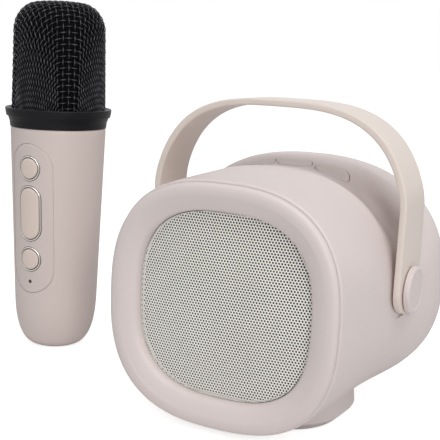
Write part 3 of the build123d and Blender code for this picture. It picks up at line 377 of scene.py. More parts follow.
def shrink_wrap(name, colour):
    finish = Finish(name, colour, 0.3, 0.35, Coat_Weight=0.4)
    wrinkles = finish.noise(140.0, 3.0, (0.3, 1.0, 1.0))
    finish.tone(wrinkles, 0.45, 0.7, 1.0, 0.8)
    finish.raise_by(wrinkles, 5e-5)
    return finish.done()


def clear_lens(name, colour):
    finish = Finish(name, colour, 0.16, IOR=1.49, Transmission_Weight=0.35)
    finish.tone(finish.noise(1500.0, 2.0), 0.4, 0.7, 1.0, 0.9)
    finish.raise_by(finish.noise(600.0, 2.0), 4e-6)
    return finish.done()


blush = srgb(223, 211, 209)
cream = srgb(228, 216, 207)
rose = srgb(221, 207, 202)
housing_plastic = moulded_plastic("housing_plastic", blush)
mic_plastic = moulded_plastic("mic_plastic", rose)
handle_plastic = moulded_plastic("handle_plastic", cream, 0.38)
foot_plastic = moulded_plastic("foot_plastic", shade(blush, 0.97), 0.46)
key_plastic = moulded_plastic("key_plastic", srgb(230, 213, 203), 0.36, 3e-6)
panel_plastic = moulded_plastic("panel_plastic", shade(rose, 0.99), 0.36, 4e-6)
inner_plastic = moulded_plastic("inner_plastic", srgb(40, 40, 43), 0.5)
collar_plastic = moulded_plastic("collar_plastic", srgb(22, 22, 26), 0.38, 4e-6, gloss=0.22)
grille_paint = painted_metal("grille_paint", srgb(255, 252, 246))
# mesh_lacquer: black wire; its second colour is the painted highlight on the crowns of the weave
mesh_lacquer = woven_wire("mesh_lacquer", srgb(12, 12, 15), srgb(102, 102, 110))
frame_paint = painted_metal("frame_paint", srgb(34, 34, 36), 0.5)
ring_chrome = turned_metal("ring_chrome", srgb(226, 222, 216), 0.16)
plain_steel = turned_metal("plain_steel", srgb(176, 178, 182), 0.3)
black_screw = turned_metal("black_screw", srgb(52, 52, 55), 0.36)
foot_rubber = soft_rubber("foot_rubber", srgb(58, 56, 56))
# brown of the seam's painted shadow ring
seal_rubber = soft_rubber("seal_rubber", srgb(78, 62, 54))
# black rubber of the driver's surround, also the colour of the dark rings of painted shade in the
# grille's gap and round the microphone's keys
surround_rubber = soft_rubber("surround_rubber", srgb(36, 36, 38))
black_foam = open_foam("black_foam", srgb(11, 11, 13))
cone_paper = pressed_paper("cone_paper", srgb(40, 39, 40))
spider_cloth = pressed_paper("spider_cloth", srgb(176, 142, 88))
board_lacquer = circuit_board("board_lacquer", srgb(22, 74, 48))
ferrite = dull_ferrite("ferrite", srgb(56, 56, 60))
coil_copper = wound_copper("coil_copper", srgb(190, 112, 70))
cell_wrap = shrink_wrap("cell_wrap", srgb(60, 112, 168))
lamp_lens = clear_lens("lamp_lens", srgb(78, 70, 66))
chip_epoxy = dull_ferrite("chip_epoxy", srgb(36, 36, 38))


# ---------------------------------------------------------------- meshes
def placed(name, data):
    """A new object in the scene."""
    thing = bpy.data.objects.new(name, data)
    bpy.context.scene.collection.objects.link(thing)
    return thing


def raw_mesh(name, points, faces, edges=()):
    """A mesh from points in millimetres."""
    mesh = bpy.data.meshes.new(name)
    mesh.from_pydata((points * MM).tolist(), edges, faces)
    return mesh


def make(name, points, faces, *looks, **more):
    """A finished piece from points and faces, smooth up to the crease angle."""
    mesh = raw_mesh(name, points, faces)
    mesh.validate()
    dress(placed(name, mesh), *looks, **more)


def dress(piece, material, body, stands_for=(), slot=None, crease=32.0):
    """Finish, shading and body of a piece."""
    piece.data.materials.clear()
    piece.data.materials.append(material)
    if crease is not None:
        piece.data.shade_smooth()
        piece.data.set_sharp_from_angle(angle=radians(crease))
    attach(piece, body)
    if stands_for:
        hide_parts(*stands_for)


def stacked(rings, closed=False, loop=False, flip=False):
    """Points and faces of rings stacked in order: closed by a face at each end, or a loop."""
    rows, columns = len(rings), len(rings[0])
    faces = []
    for row in range(rows if loop else rows - 1):
        below, above = row * columns, (row + 1) % rows * columns
        for column in range(columns):
            after = (column + 1) % columns
            faces.append((below + column, below + after, above + after, above + column))
    if closed:
        last = (rows - 1) * columns
        faces += [tuple(range(columns))[::-1], tuple(range(last, last + columns))]
    if flip:
        faces = [face[::-1] for face in faces]
    return np.concatenate(rings), faces


def blend(t, start, end, leave, arrive):
    """Cubic curve between two values, with the slopes it leaves and arrives with."""
    return ((2 * t ** 3 - 3 * t ** 2 + 1) * start + (t ** 3 - 2 * t ** 2 + t) * leave
            + (3 * t ** 2 - 2 * t ** 3) * end + (t ** 3 - t ** 2) * arrive)


def through(stops, values, at):
    """Smooth curve through rows of values, or of points, at their stops."""
    slopes = np.gradient(values, stops, axis=0)
    i = np.clip(np.searchsorted(stops, at, "right") - 1, 0, len(stops) - 2)
    shape = (-1,) + (1,) * (values.ndim - 1)
    width = (stops[i + 1] - stops[i]).reshape(shape)
    t = (at - stops[i]).reshape(shape) / width
    return blend(t, values[i], values[i + 1], width * slopes[i], width * slopes[i + 1])


def smooth(value):
    """Soft step: 0 up to 0, 1 from 1."""
    value = np.clip(value, 0.0, 1.0)
    return value * value * (3 - 2 * value)


def valley(back, angle):
    """Depth of the valley below the smooth hull."""
    along = (back - valley_back) / (valley_front_run if back < valley_back else valley_rear_run)
    if abs(along) >= 1:
        return np.zeros_like(angle)
    up = np.degrees(np.minimum(angle, pi - angle))
    around = smooth((up - valley_start) / (valley_full - valley_start)) \
        * (1 - shallowing * smooth((up - shallow_start) / (shallow_end - shallow_start)))
    return np.where(np.sin(angle) > 0, valley_depth * cos(along * pi / 2) ** 2 * around, 0.0)


def full_turn(count):
    """Angles evenly spaced round a circle."""
    return 2 * pi * np.arange(count) / count


def rounded_square(half_width, rise, drop, squareness, back, sink=None):
    """Closed outline in the plane at a depth behind the seam."""
    angle = full_turn(outline_points)
    across, up = np.cos(angle), np.sin(angle)
    x = half_width * np.sign(across) * np.abs(across) ** (2 / squareness)
    z = np.where(up >= 0, rise, drop) * np.sign(up) * np.abs(up) ** (2 / squareness)
    if sink is not None:
        share = 1 - sink / np.hypot(x, z)
        x, z = x * share, z * share
    return np.stack([x, np.full(outline_points, seam_y + back), axis_height + z], 1)


def face_ring(back, inset):
    """Outline of the housing's front."""
    height = face_half_height - inset
    return rounded_square(face_half_width - inset, height, height, face_squareness, back)


def opening_ring(back, grow=0.0):
    """Outline of the grille's opening."""
    height = grille_half_height + grow
    return rounded_square(grille_half_width + grow, height, height, grille_squareness, back)


def hull_ring(back, inset=0.0):
    """Outline of the housing at a depth behind the seam."""
    flare, rise, drop, squareness = through(hull_stations[:, 0], hull_stations[:, 1:],
                                            np.array([back]))[0]
    return rounded_square(face_half_width + flare - inset, face_half_height + rise - inset,
                          face_half_height + drop - inset, squareness, back,
                          valley(back, full_turn(outline_points)))


def prism(outline, low, high, direction):
    """Closed block: an outline of points carried along a direction from low to high."""
    ends = [outline + np.multiply(direction, reach) for reach in (low, high)]
    return outward(*stacked(ends, True))


def outward(points, faces):
    """Turn a closed form's faces so that they point out of it."""
    middle = points.mean(0)
    volume = 0.0
    for face in faces:
        fan = points[list(face)] - middle
        volume += np.einsum("i,ji->", fan[0], np.cross(fan[1:-1], fan[2:]))
    return points, faces if volume > 0 else [face[::-1] for face in faces]


def slot_outline(width, length, upright=False, count=24):
    """Stadium outline, longest along its second axis if upright: (across, up) pairs."""
    if abs(width - length) < 1e-6:
        turn = full_turn(count)
        return np.stack([np.cos(turn), np.sin(turn)], 1) * width / 2
    radius = min(width, length) / 2
    straight = (max(width, length) - 2 * radius) / 2
    half = count // 2
    arc = np.linspace(-pi / 2, pi / 2, half + 1)
    right = np.stack([np.cos(arc) * radius + straight, np.sin(arc) * radius], 1)
    outline = np.concatenate([right, -right])
    return outline[:, ::-1] * (-1, 1) if upright else outline


def carve(piece, cutters):
    """Cut closed meshes out of a piece and keep the result as its mesh."""
    made = [placed("cutter", raw_mesh("cutter", *cutter)) for cutter in cutters]
    for cutter in made:
        tool = piece.modifiers.new("cut", "BOOLEAN")
        tool.operation, tool.solver, tool.object = "DIFFERENCE", "EXACT", cutter
    apply_modifiers(piece)
    for cutter in made:
        bpy.data.objects.remove(cutter)


def apply_modifiers(piece):
    """Turn a piece with modifiers into a plain mesh."""
    bpy.context.view_layer.update()
    result = piece.evaluated_get(bpy.context.evaluated_depsgraph_get())
    mesh = bpy.data.meshes.new_from_object(result)
    piece.modifiers.clear()
    piece.data = mesh


def cut_piece(name, points, faces, cutters, material, body, stands_for, slot, crease=32.0):
    """Carve a form; what is left of its surface keeps the uncut form's smooth shading."""
    whole = raw_mesh("whole", points, faces)
    corners = [tuple(p.vertices) for p in whole.polygons]
    tree = BVHTree.FromPolygons([v.co for v in whole.vertices], corners)
    smooth_normals = np.zeros(len(whole.vertices) * 3, np.float32)
    whole.vertex_normals.foreach_get("vector", smooth_normals)
    smooth_normals = smooth_normals.reshape(-1, 3)

    def normal_at(spot, index):
        weights = [1 / (1e-9 + (whole.vertices[v].co - spot).length) for v in corners[index]]
        return sum((w * Vector(smooth_normals[v]) for w, v in zip(weights, corners[index])),
                   Vector()).normalized()

    piece = placed(name, whole.copy())
    carve(piece, cutters)
    mesh = piece.data
    mesh.shade_smooth()
    mesh.set_sharp_from_angle(angle=radians(crease))
    custom = [Vector()] * len(mesh.loops)
    for face in mesh.polygons:
        spot, normal, _, distance = tree.find_nearest(face.center)
        if distance < 0.1 * MM and face.normal.dot(normal) > 0.9:
            for corner, vertex in zip(face.loop_indices, face.vertices):
                near, _, index, _ = tree.find_nearest(mesh.vertices[vertex].co)
                custom[corner] = normal_at(near, index)
    mesh.normals_split_custom_set(custom)
    dress(piece, material, body, stands_for, slot, None)
    return tree


# ---------------------------------------------------------------- housing
def end_reach(turn):
    """From the handle's pin to the rim of the strap's end, in one direction of the strap."""
    if not pi < turn < 2 * pi:
        return root_radius
    return 1 / hypot(cos(turn) / root_radius, sin(turn) / root_drop)


def channel_reach(turn):
    """From the handle's pin to the channel's rim: all that the strap's end sweeps, and a gap."""
    swept = [end_reach(turn - swing) for swing in np.linspace(-swing_back, swing_forward, 23)]
    return max(swept) + channel_gap


def main_shell():
    """Thin wall from the seam to the rear rim, with the handle's channels and the button holes."""
    lip = (0.0, 0.1, 0.25, 0.45, 0.7, 1.0)
    outside = [hull_ring(seam_gap + share, 1 - sqrt(1 - (1 - share) ** 2)) for share in lip]
    backs = np.concatenate([np.linspace(2.4, 36, 17), np.linspace(37.2, 75, 46),
                            np.linspace(76, 93, 22)])
    outside += [hull_ring(back) for back in backs]
    inside = [hull_ring(back, wall) for back in [*backs[::-1], seam_gap]]
    radius, limit = root_radius + channel_gap, channel_floor - wall
    for ring in inside:
        behind = (abs(ring[:, 1] - pivot_y) < radius + wall) & (ring[:, 2] > pivot_z - 15)
        ring[behind, 0] = np.clip(ring[behind, 0], -limit, limit)
    turn = np.linspace(pi, 2 * pi, 49)
    rim = np.array([channel_reach(direction) for direction in turn])
    channel = np.concatenate([np.stack([rim * np.cos(turn), rim * np.sin(turn)], 1),
                              [(radius, channel_rise), (-radius, channel_rise)]])
    channel = np.insert(channel, 0, 0.0, 1) + (0.0, pivot_y, pivot_z)
    cutters = [prism(channel, side * channel_floor, side * channel_outside, (1, 0, 0))
               for side in (-1, 1)]
    hole = slot_outline(button_length + 2 * button_gap, button_width + 2 * button_gap, False, 48)
    for column in (-1, 0, 1):
        place = np.insert(hole, 2, 0.0, 1) + (column * button_pitch, button_y, 0.0)
        cutters.append(prism(place, button_hole_low, button_hole_high, (0, 0, 1)))
    return cut_piece("speaker_shell", *stacked(outside + inside, loop=True), cutters,
                     housing_plastic, "speaker_housing", ["main_shell"], "housing_plastic")


def bezel():
    """Ring with a soft crest that dishes in to the grille."""
    crest = [face_ring(*stop) for stop in (
        (bezel_back, 0.0), (-0.5, 0.05), (-1.3, 0.4), (-1.85, 1.1), (-2.13, 2.05), (-2.2, 3.2),
        (-2.12, 4.3))]
    dish = [opening_ring(*stop) for stop in (
        (-1.8, 4.9), (-1.25, 3.3), (-0.5, 1.75), (0.25, 0.8), (1.19, 0.3), (2.3, 0.1),
        (3.3, 0.02))]
    section = np.array(crest + dish)
    stops = np.arange(len(section), dtype=float)
    front = list(through(stops, section, np.linspace(0, stops[-1], 66)))
    spigot = [opening_ring(3.4), opening_ring(spigot_front),
              opening_ring(spigot_front, spigot_step), opening_ring(spigot_back, spigot_step),
              face_ring(spigot_back, wall + fit), face_ring(bezel_back, wall + fit)]
    make("front_bezel_ring", *stacked(front + spigot, loop=True, flip=True),
         housing_plastic, "speaker_housing", ["front_bezel"], "housing_plastic")


def seam_shadow_ring():
    """Dark ring at the bottom of the groove between the bezel and the shell: painted shade, put
    where the seam has only shadow.
    """
    rings = [face_ring(*stop) for stop in ((0.1, 0.3), (0.64, 0.3), (0.64, 1.7), (0.1, 1.7))]
    make("seam_shadow_ring", *stacked(rings, loop=True), seal_rubber, "speaker_housing", (),
         "black_plastic")


def run_pattern(name, tree, base, settings):
    """Grow a pattern from a base mesh and return it as a plain mesh's object."""
    piece = placed(name, base)
    grower = piece.modifiers.new("pattern", "NODES")
    grower.node_group = tree
    for item in tree.interface.items_tree:
        if item.in_out == "INPUT" and item.name in settings:
            grower[item.identifier] = settings[item.name]
    apply_modifiers(piece)
    return piece


class Pattern(Tree):
    """A Geometry Nodes tree with named inputs for its sizes."""

    kinds = {float: "NodeSocketFloat", int: "NodeSocketInt",
             bpy.types.Material: "NodeSocketMaterial"}

    def __init__(self, name, settings):
        group = bpy.data.node_groups.new(name, "GeometryNodeTree")
        super().__init__(group)
        face = group.interface
        face.new_socket(name="Geometry", in_out="INPUT", socket_type="NodeSocketGeometry")
        face.new_socket(name="Geometry", in_out="OUTPUT", socket_type="NodeSocketGeometry")
        for key, value in settings.items():
            kind = next(k for t, k in self.kinds.items() if isinstance(value, t))
            face.new_socket(name=key, in_out="INPUT", socket_type=kind)
        self.entry = group.nodes.new("NodeGroupInput")
        self.way_out = group.nodes.new("NodeGroupOutput")

    def input(self, name):
        return Value(self, self.entry.outputs[name])

    def finish(self, geometry):
        real = self.add("GeometryNodeRealizeInstances", {0: geometry})
        painted = self.add("GeometryNodeSetMaterial",
                           {"Geometry": real, "Material": self.input("Material")})
        self.join(painted, self.way_out.inputs[0])
        return self.tree

    def move_to(self, geometry, x, y, z):
        return self.add("GeometryNodeSetPosition",
                        {"Geometry": geometry, "Position": self.vector(x, y, z)})

    def here(self):
        return self.parts(self.add("GeometryNodeInputPosition"))


def grille():
    """Steel sheet with staggered round holes, pressed to a shallow dome, its flange and a dark
    ring of painted shade at the bottom of the gap round its edge.
    """
    row_share = sqrt(0.75)
    rows = 2 * ceil(grille_half_height / (hole_pitch * row_share)) + 5
    settings = {
        "Pitch": hole_pitch * MM, "Hole radius": hole_diameter / 2 * MM,
        "Sheet": sheet_thickness * MM,
        "Half width": (grille_half_width - grille_gap) * MM,
        "Half height": (grille_half_height - grille_gap) * MM,
        "Squareness": grille_squareness, "Margin": -grille_gap * MM,
        "Dome": grille_dome * MM, "Dome reach": dome_reach / grille_half_height,
        "Columns": 2 * ceil(grille_half_width / hole_pitch) + 5, "Rows": rows | 1,
        "Material": grille_paint}
    p = Pattern("perforated_sheet", settings)
    pitch, power, radius, thickness = [
        p.input(name) for name in ("Pitch", "Squareness", "Hole radius", "Sheet")]

    def superellipse(shrink):
        """How far out a point lies: 1 on the sheet's edge drawn in by shrink."""
        x, _, z = p.here()
        wide = (x.math("ABSOLUTE") / (p.input("Half width") - shrink)) ** power
        tall = (z.math("ABSOLUTE") / (p.input("Half height") - shrink)) ** power
        return x, z, (wide + tall) ** (1.0 / power)

    def hexagon(angle):
        turn = (angle + pi / 6).math("FLOORED_MODULO", pi / 3) - pi / 6
        return pitch * 0.5 / turn.math("COSINE")

    def around(cell, reach, angle, depth):
        return p.move_to(cell, reach * angle.math("COSINE"), depth, reach * angle.math("SINE"))

    strip = p.add("GeometryNodeMeshGrid",
                  {"Size X": 2 * pi, "Size Y": 2.0, "Vertices X": 13, "Vertices Y": 3})
    angle, row, _ = p.here()
    rim = row < -0.5
    holed = around(strip, hexagon(angle) * rim + radius * (1.0 - rim), angle,
                   (row > 0.5) * thickness)
    disc = p.add("GeometryNodeMeshCircle", {"Vertices": 12, "Radius": 1.0}, fill_type="NGON")
    x, y, _ = p.here()
    angle = y.math("ARCTAN2", x)
    plain = around(disc, hexagon(angle), angle, 0.0)

    row_pitch = pitch * row_share
    columns, rows = p.input("Columns"), p.input("Rows")
    field = p.add("GeometryNodeMeshGrid",
                  {"Size X": (columns - 1.0) * pitch, "Size Y": (rows - 1.0) * row_pitch,
                   "Vertices X": columns, "Vertices Y": rows})
    x, y, _ = p.here()
    odd = (y / row_pitch).math("ROUND").math("FLOORED_MODULO", 2.0)
    field = p.move_to(field, x + odd * pitch * 0.5, 0.0, y)
    field = p.add("GeometryNodeDeleteGeometry",
                  {"Geometry": field, "Selection": superellipse(pitch * -0.75)[2] > 1.0})
    inner = superellipse(p.input("Margin"))[2] < 1.0
    cells = [p.add("GeometryNodeInstanceOnPoints",
                   {"Points": field, "Selection": chosen, "Instance": cell})
             for chosen, cell in ((inner, holed), (1.0 - inner, plain))]
    sheet = p.add("GeometryNodeRealizeInstances",
                  {0: p.add("GeometryNodeJoinGeometry", {0: cells})})
    sheet = p.add("GeometryNodeMergeByDistance", {"Geometry": sheet, "Distance": 0.00001})
    x, z, beyond = superellipse(0.0)
    depth = p.here()[1]
    pull = 1.0 / beyond.math("MAXIMUM", 1.0)
    share = ((1.0 - beyond) / p.input("Dome reach")).math("MAXIMUM", 0.0).math("MINIMUM", 1.0)
    bulge = p.input("Dome") * (share * (pi / 2)).math("SINE")
    tree = p.finish(p.move_to(sheet, x * pull, depth - bulge, z * pull))
    piece = run_pattern("perforated_grille", tree, bpy.data.meshes.new("field"), settings)
    piece.data.transform(Matrix.Translation(Vector((0, seam_y + grille_front, axis_height)) * MM))
    dress(piece, grille_paint, "speaker_housing", ["speaker_grille"], "grille_metal", 40.0)

    flange = [opening_ring(*stop) for stop in (
        (grille_front, -grille_gap), (flange_front, -grille_gap), (flange_front, flange_width),
        (flange_back, flange_width), (flange_back, -0.6))]
    make("grille_flange", *stacked(flange, flip=True), grille_paint, "speaker_housing", (),
         "grille_metal")
    # painted shade: a dark ring fills the bottom of the gap between the sheet and the bezel
    shade_ring = [opening_ring(*stop) for stop in (
        (shade_ring_front, -grille_gap), (shade_ring_front, shade_ring_grow), (shade_ring_back, shade_ring_grow),
        (shade_ring_back, -grille_gap))]
    make("grille_shade_ring", *stacked(shade_ring, loop=True, flip=True), surround_rubber,
         "speaker_housing", (), "black_plastic")


# ---------------------------------------------------------------- handle
def arch_row(angle, inset):
    """Point of the arch, (x, height over the pivot), at an angle up from its side."""
    height = (arch_height - inset) * sin(angle) ** (2 / arch_squareness)
    swell = (arch_half_width - root_half_width) * smooth((height - leg_straight) / leg_bow_run)
    reach = root_half_width + swell - inset
    return reach * cos(angle) ** (2 / arch_squareness) if angle < pi / 2 - 1e-9 else 0.0, height


def strap_rows():
    """Outer point, inner point and half width of the strap, from its right root to the crown."""
    end = [(-root_drop * cos(turn), root_radius * sin(turn))
           for turn in np.linspace(0.004, 1, 22) * pi / 2]
    leg = [(height, strap_half_width(height)) for height in (3.5, 7.0, 10.5)]
    rows = [((root_half_width, height), (root_half_width - strap_thickness, height), width)
            for height, width in end + leg]
    for angle in np.linspace(0.2, 1, 60) * pi / 2:
        outer, inner = arch_row(angle, 0.0), arch_row(angle, strap_thickness)
        if outer[1] > leg_straight - 2:
            rows.append((outer, inner, strap_half_width(outer[1])))
    return rows


def strap_half_width(height):
    return root_radius + (crown_half_width - root_radius) * max(height, 0.0) / (arch_height + 1)


def strap():
    """Arch with softly rounded edges and rounded ends."""
    right = strap_rows()
    left = [((-o[0], o[1]), (-i[0], i[1]), w) for o, i, w in right[-2::-1]]
    turn = np.linspace(0, pi / 2, 7)
    rings = []
    for outer, inner, half_width in right + left:
        outer, inner = np.array(outer), np.array(inner)
        thickness = max(hypot(*(outer - inner)), 1e-6)
        radius = min(strap_rounding, half_width * 0.999, thickness / 2)
        ring = []
        for side, top in ((1, 1), (-1, 1), (-1, 0), (1, 0)):
            corner = turn if (side > 0) == (top > 0) else turn[::-1]
            for angle in corner:
                along = half_width - radius + radius * cos(angle)
                up = radius - radius * sin(angle)
                depth = up / thickness if top else 1 - up / thickness
                spot = outer + (inner - outer) * depth
                ring.append((spot[0], pivot_y + side * along, pivot_z + spot[1]))
        rings.append(np.array(ring))
    make("carry_strap", *stacked(rings, True), handle_plastic, "handle", ["handle_strap"],
         "handle_plastic", 40.0)


def pivot_caps():
    """Caps over the handle's pins: a soft raised rim round a shallow dish."""
    for side, name in ((-1, "left"), (1, "right")):
        low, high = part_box(f"{name}_handle_cap")
        inner, outer = sorted((abs(low[0]) / MM, abs(high[0]) / MM))
        profile = rounded_corners(
            [(cap_radius - 1.0, inner), (cap_radius, inner + 0.3), (cap_radius, outer - 0.5),
             (cap_radius - 1.0, outer), (cap_radius - 1.9, outer - 0.35), (0.6, outer - 0.3)],
            [0.3, 0.6, 0.7, 0.8], 5)
        turn = full_turn(72)
        rings = [np.stack([np.full(72, side * x), pivot_y + r * np.cos(turn),
                           pivot_z + r * np.sin(turn)], 1) for r, x in profile]
        make(f"{name}_pivot_cap", *outward(*stacked(rings, True)), housing_plastic,
             "speaker_housing", [f"{name}_handle_cap"], "housing_plastic", 50.0)


# ---------------------------------------------------------------- top buttons
def top_buttons(surface):
    """Pill keys whose crowns follow the housing, with a rounded edge."""
    rows = [(0.0, None), (0.0, -0.55), (0.06, -0.28), (0.22, -0.08), (0.5, 0.0)]
    rows += [(inset, 0.0) for inset in (1.2, 2.0, 2.8, 3.6, 4.3)]
    for column, name in zip((-1, 0, 1), ("volume_down", "play", "volume_up")):
        rings = []
        for inset, drop in rows:
            outline = slot_outline(button_length - 2 * inset, button_width - 2 * inset, False, 64)
            ring = []
            for across, along in outline:
                x, y = across + column * button_pitch, along + button_y
                if drop is None:
                    ring.append((x, y, button_bottom))
                else:
                    hit = surface.ray_cast(Vector((x, y, 140)) * MM, Vector((0, 0, -1)))[0]
                    ring.append((x, y, hit.z / MM + button_proud + drop))
            rings.append(np.array(ring))
        make(f"{name}_cap", *stacked(rings, True), housing_plastic, f"{name}_key",
             [f"{name}_button"], "button_plastic")


# ---------------------------------------------------------------- microphone
def hermite(start, end, leave, arrive, count, pull=(1.0, 1.0)):
    """Smooth curve between two points; its tangents are as long as the chord times their pull."""
    start, end = np.array(start, float), np.array(end, float)
    chord = np.linalg.norm(end - start)
    leave = np.array(leave, float) / np.linalg.norm(leave) * chord * pull[0]
    arrive = np.array(arrive, float) / np.linalg.norm(arrive) * chord * pull[1]
    t = np.linspace(0, 1, count)[:, None]
    return blend(t, start, end, leave, arrive)


def rounded_corners(points, radii, steps):
    """Open polyline with its inner corners rounded."""
    points = np.array(points)
    result = [points[0]]
    for before, corner, after, radius in zip(points, points[1:], points[2:], radii):
        one, two = before - corner, after - corner
        one, two = one / np.linalg.norm(one), two / np.linalg.norm(two)
        bend = np.arccos(np.clip(np.dot(one, two), -1, 1))
        reach = radius / np.tan(bend / 2)
        for t in np.linspace(0, 1, steps + 1):
            result.append(corner + one * reach * (1 - t) ** 2 + two * reach * t ** 2)
    return result + [points[-1]]


def mic_radius(height):
    """Radius of the tapered shell above its waist."""
    share = (height - mic_waist_height) / (mic_shell_height - mic_waist_height)
    return mic_waist_radius + (mic_top_radius - mic_waist_radius) * share


def on_front(width, length, middle, sections, count=64, loop=False):
    """Form on the microphone's front: stadiums inset and proud by each section's pair."""
    rings = []
    for inset, proud in sections:
        outline = slot_outline(width - 2 * inset, length - 2 * inset, length > width, count)
        height = middle + outline[:, 1]
        radius = mic_radius(height) + proud
        rings.append(np.stack([mic_x + outline[:, 0],
                               mic_y - np.sqrt(radius ** 2 - outline[:, 0] ** 2), height], 1))
    return outward(*stacked(rings, not loop, loop))


def through_front(width, length, middle, grow):
    """Cutter that goes through the microphone's front wall."""
    outline = slot_outline(width + 2 * grow, length + 2 * grow, length > width, 64)
    points = np.insert(outline, 1, 0.0, 1) + (mic_x, 0.0, middle)
    return prism(points, mic_y - 30, mic_y - 8, (0, 1, 0))


def front_holes(grow):
    """Cutters for the lamp's hole and, grown by a gap, for the keys."""
    return [through_front(lamp_diameter, lamp_diameter, lamp_rise, lamp_gap)] \
        + [through_front(*key, grow) for key in mic_key_sizes.values()]


# width, length and height of the microphone's three keys
mic_key_sizes = {"power": (2 * key_radius, 2 * key_radius, power_rise),
                 "volume": (rocker_width, rocker_length, rocker_rise),
                 "mode": (2 * key_radius, 2 * key_radius, mode_rise)}


def mic_shell():
    """Turned shell with a pocket for the control panel and a slot for the charging socket."""
    slope = (mic_top_radius - mic_waist_radius, mic_shell_height - mic_waist_height)
    profile = list(hermite((mic_foot_radius, 0.0), (mic_waist_radius, mic_waist_height),
                           (1, 0.16), slope, 30))
    heights = np.linspace(mic_waist_height, mic_shell_height - 0.5, 40)[1:]
    profile += [(mic_radius(height), height) for height in heights]
    profile += [(mic_top_radius - 0.12, mic_shell_height - 0.15),
                (mic_top_radius - 0.45, mic_shell_height),
                (mic_top_radius - mic_wall, mic_shell_height),
                (mic_waist_radius - mic_wall, mic_waist_height), (mic_waist_radius - 4, 8.0),
                (mic_foot_radius, mic_wall)]
    pocket = on_front(panel_width + 2 * fit, panel_height + 2 * fit, panel_middle,
                      [(inset, pocket_back) for inset in (9, 6, 3, 0)] + [(0, 3.0), (5, 3.0)], 96)
    slot = slot_outline(socket_width + 2 * fit, socket_height + 2 * fit, False, 32)
    slot = prism(np.insert(slot, 2, 0.0, 1) + (mic_x, mic_y, 0.0), -2.0, 5.0, (0, 0, 1))
    cut_piece("mic_body_shell", *ring_stack(profile, 144, False),
              [pocket, slot, *front_holes(ring_gap)], mic_plastic, "microphone", ["mic_shell"],
              "housing_plastic")


def mic_panel():
    """Control panel flush with the shell, with plated rings round its keys and dark rings of
    painted shade in the gaps on both sides of each ring.
    """
    face = [(inset, panel_back) for inset in (9.0, 6.0, 3.0, 0.0)]
    face += [(0.0, -0.2), (0.06, -0.06), (0.2, 0.0)]
    face += [(inset, 0.0) for inset in (1.0, 2.2, 3.4, 4.6, 5.8, 7.0, 8.2, 9.4)]
    cut_piece("mic_control_face", *on_front(panel_width, panel_height, panel_middle, face, 96),
              front_holes(ring_gap + ring_wall + gap_shade_wall), panel_plastic, "microphone",
              ["mic_control_panel"], "housing_plastic")
    outer, inner = -ring_gap - ring_wall, -ring_gap
    # painted shade: dark rings fill the gaps outside and inside each plated ring nearly to the
    # surface
    gap_shades = []
    for name, key in mic_key_sizes.items():
        clear = -rocker_gap if name == "volume" else -key_gap
        for low, high, top in ((outer - gap_shade_wall, outer, -0.02), (inner, clear, 0.12)):
            section = [(low, -0.8), (low, top), (high, top), (high, -0.8)]
            gap_shades.append(on_front(*key, section, 96, True))
    make("mic_key_seals", *merged(gap_shades), surround_rubber, "microphone", (), "black_plastic")
    section = [(outer, panel_back), (outer, 0.05), (outer + 0.08, 0.24),
               (outer + 0.25, ring_proud), (inner - 0.25, ring_proud), (inner - 0.08, 0.24),
               (inner, 0.05), (inner, panel_back)]
    rings = merged([on_front(*key, section, 96, True) for key in mic_key_sizes.values()])
    make("mic_key_rings", *rings, ring_chrome, "microphone", ["mic_button_rings"], "trim_metal",
         40.0)


def merged(forms):
    """One list of points and faces from several."""
    points, faces, start = [], [], 0
    for these, corners in forms:
        points.append(these)
        faces += [tuple(start + c for c in face) for face in corners]
        start += len(these)
    return np.concatenate(points), faces


def mic_keys():
    """Keys with a softened edge and a slightly crowned face."""
    stood_for = {"power": "mic_power_button", "volume": "mic_volume_rocker",
                 "mode": "mic_mode_button"}
    for name, (width, length, rise) in mic_key_sizes.items():
        half = width / 2
        face = [(half * 0.7, -key_depth), (0.0, -key_depth), (0.0, 0.3), (0.08, 0.46),
                (0.26, 0.57), (0.6, 0.62), (1.4, 0.66)]
        face += [(half * share, key_proud) for share in (0.55, 0.75, 0.9)]
        make(f"mic_{name}_cap", *on_front(width, length, rise, face), key_plastic,
             f"mic_{name}_key", [stood_for[name]], "button_plastic", 50.0)


def ring_stack(profile, segments, loop):
    """Turned form about the microphone's axis from (radius, height) points."""
    angle = full_turn(segments)
    rings = [np.stack([mic_x + radius * np.cos(angle), mic_y + radius * np.sin(angle),
                       np.full(segments, height)], 1) for radius, height in profile]
    return outward(*stacked(rings, not loop, loop))


def mic_collar():
    """Turned collar: rolled rim, a step under it and a tapered band down to the shell."""
    low, high = mic_shell_height, collar_top
    neck = mic_top_radius - mic_wall - fit
    bore, cup, shelf = neck - 2.1, mesh_radius + 0.15, mesh_seat - 0.1
    outline = rounded_corners(
        [(neck, low - 1.0), (neck, low + 0.05), (21.4, low + 0.05), (21.65, low + 2.4),
         (22.45, low + 4.7), (23.1, low + 4.75), (23.45, low + 6.6),
         (collar_radius - 0.1, high - 0.1), (22.5, high - 0.25), (cup, high - 1.1),
         (cup, shelf), (bore, shelf)],
        [0.05, 0.25, 2.0, 0.12, 0.3, 1.2, 0.45, 0.4, 0.2, 0.1], 6)
    outline += [(bore, low - collar_neck), (neck - 0.4, low - collar_neck), (neck, low - 1.5)]
    make("mic_head_collar", *ring_stack(outline, 128, True), collar_plastic, "microphone",
         ["mic_collar"], "black_plastic", 50.0)


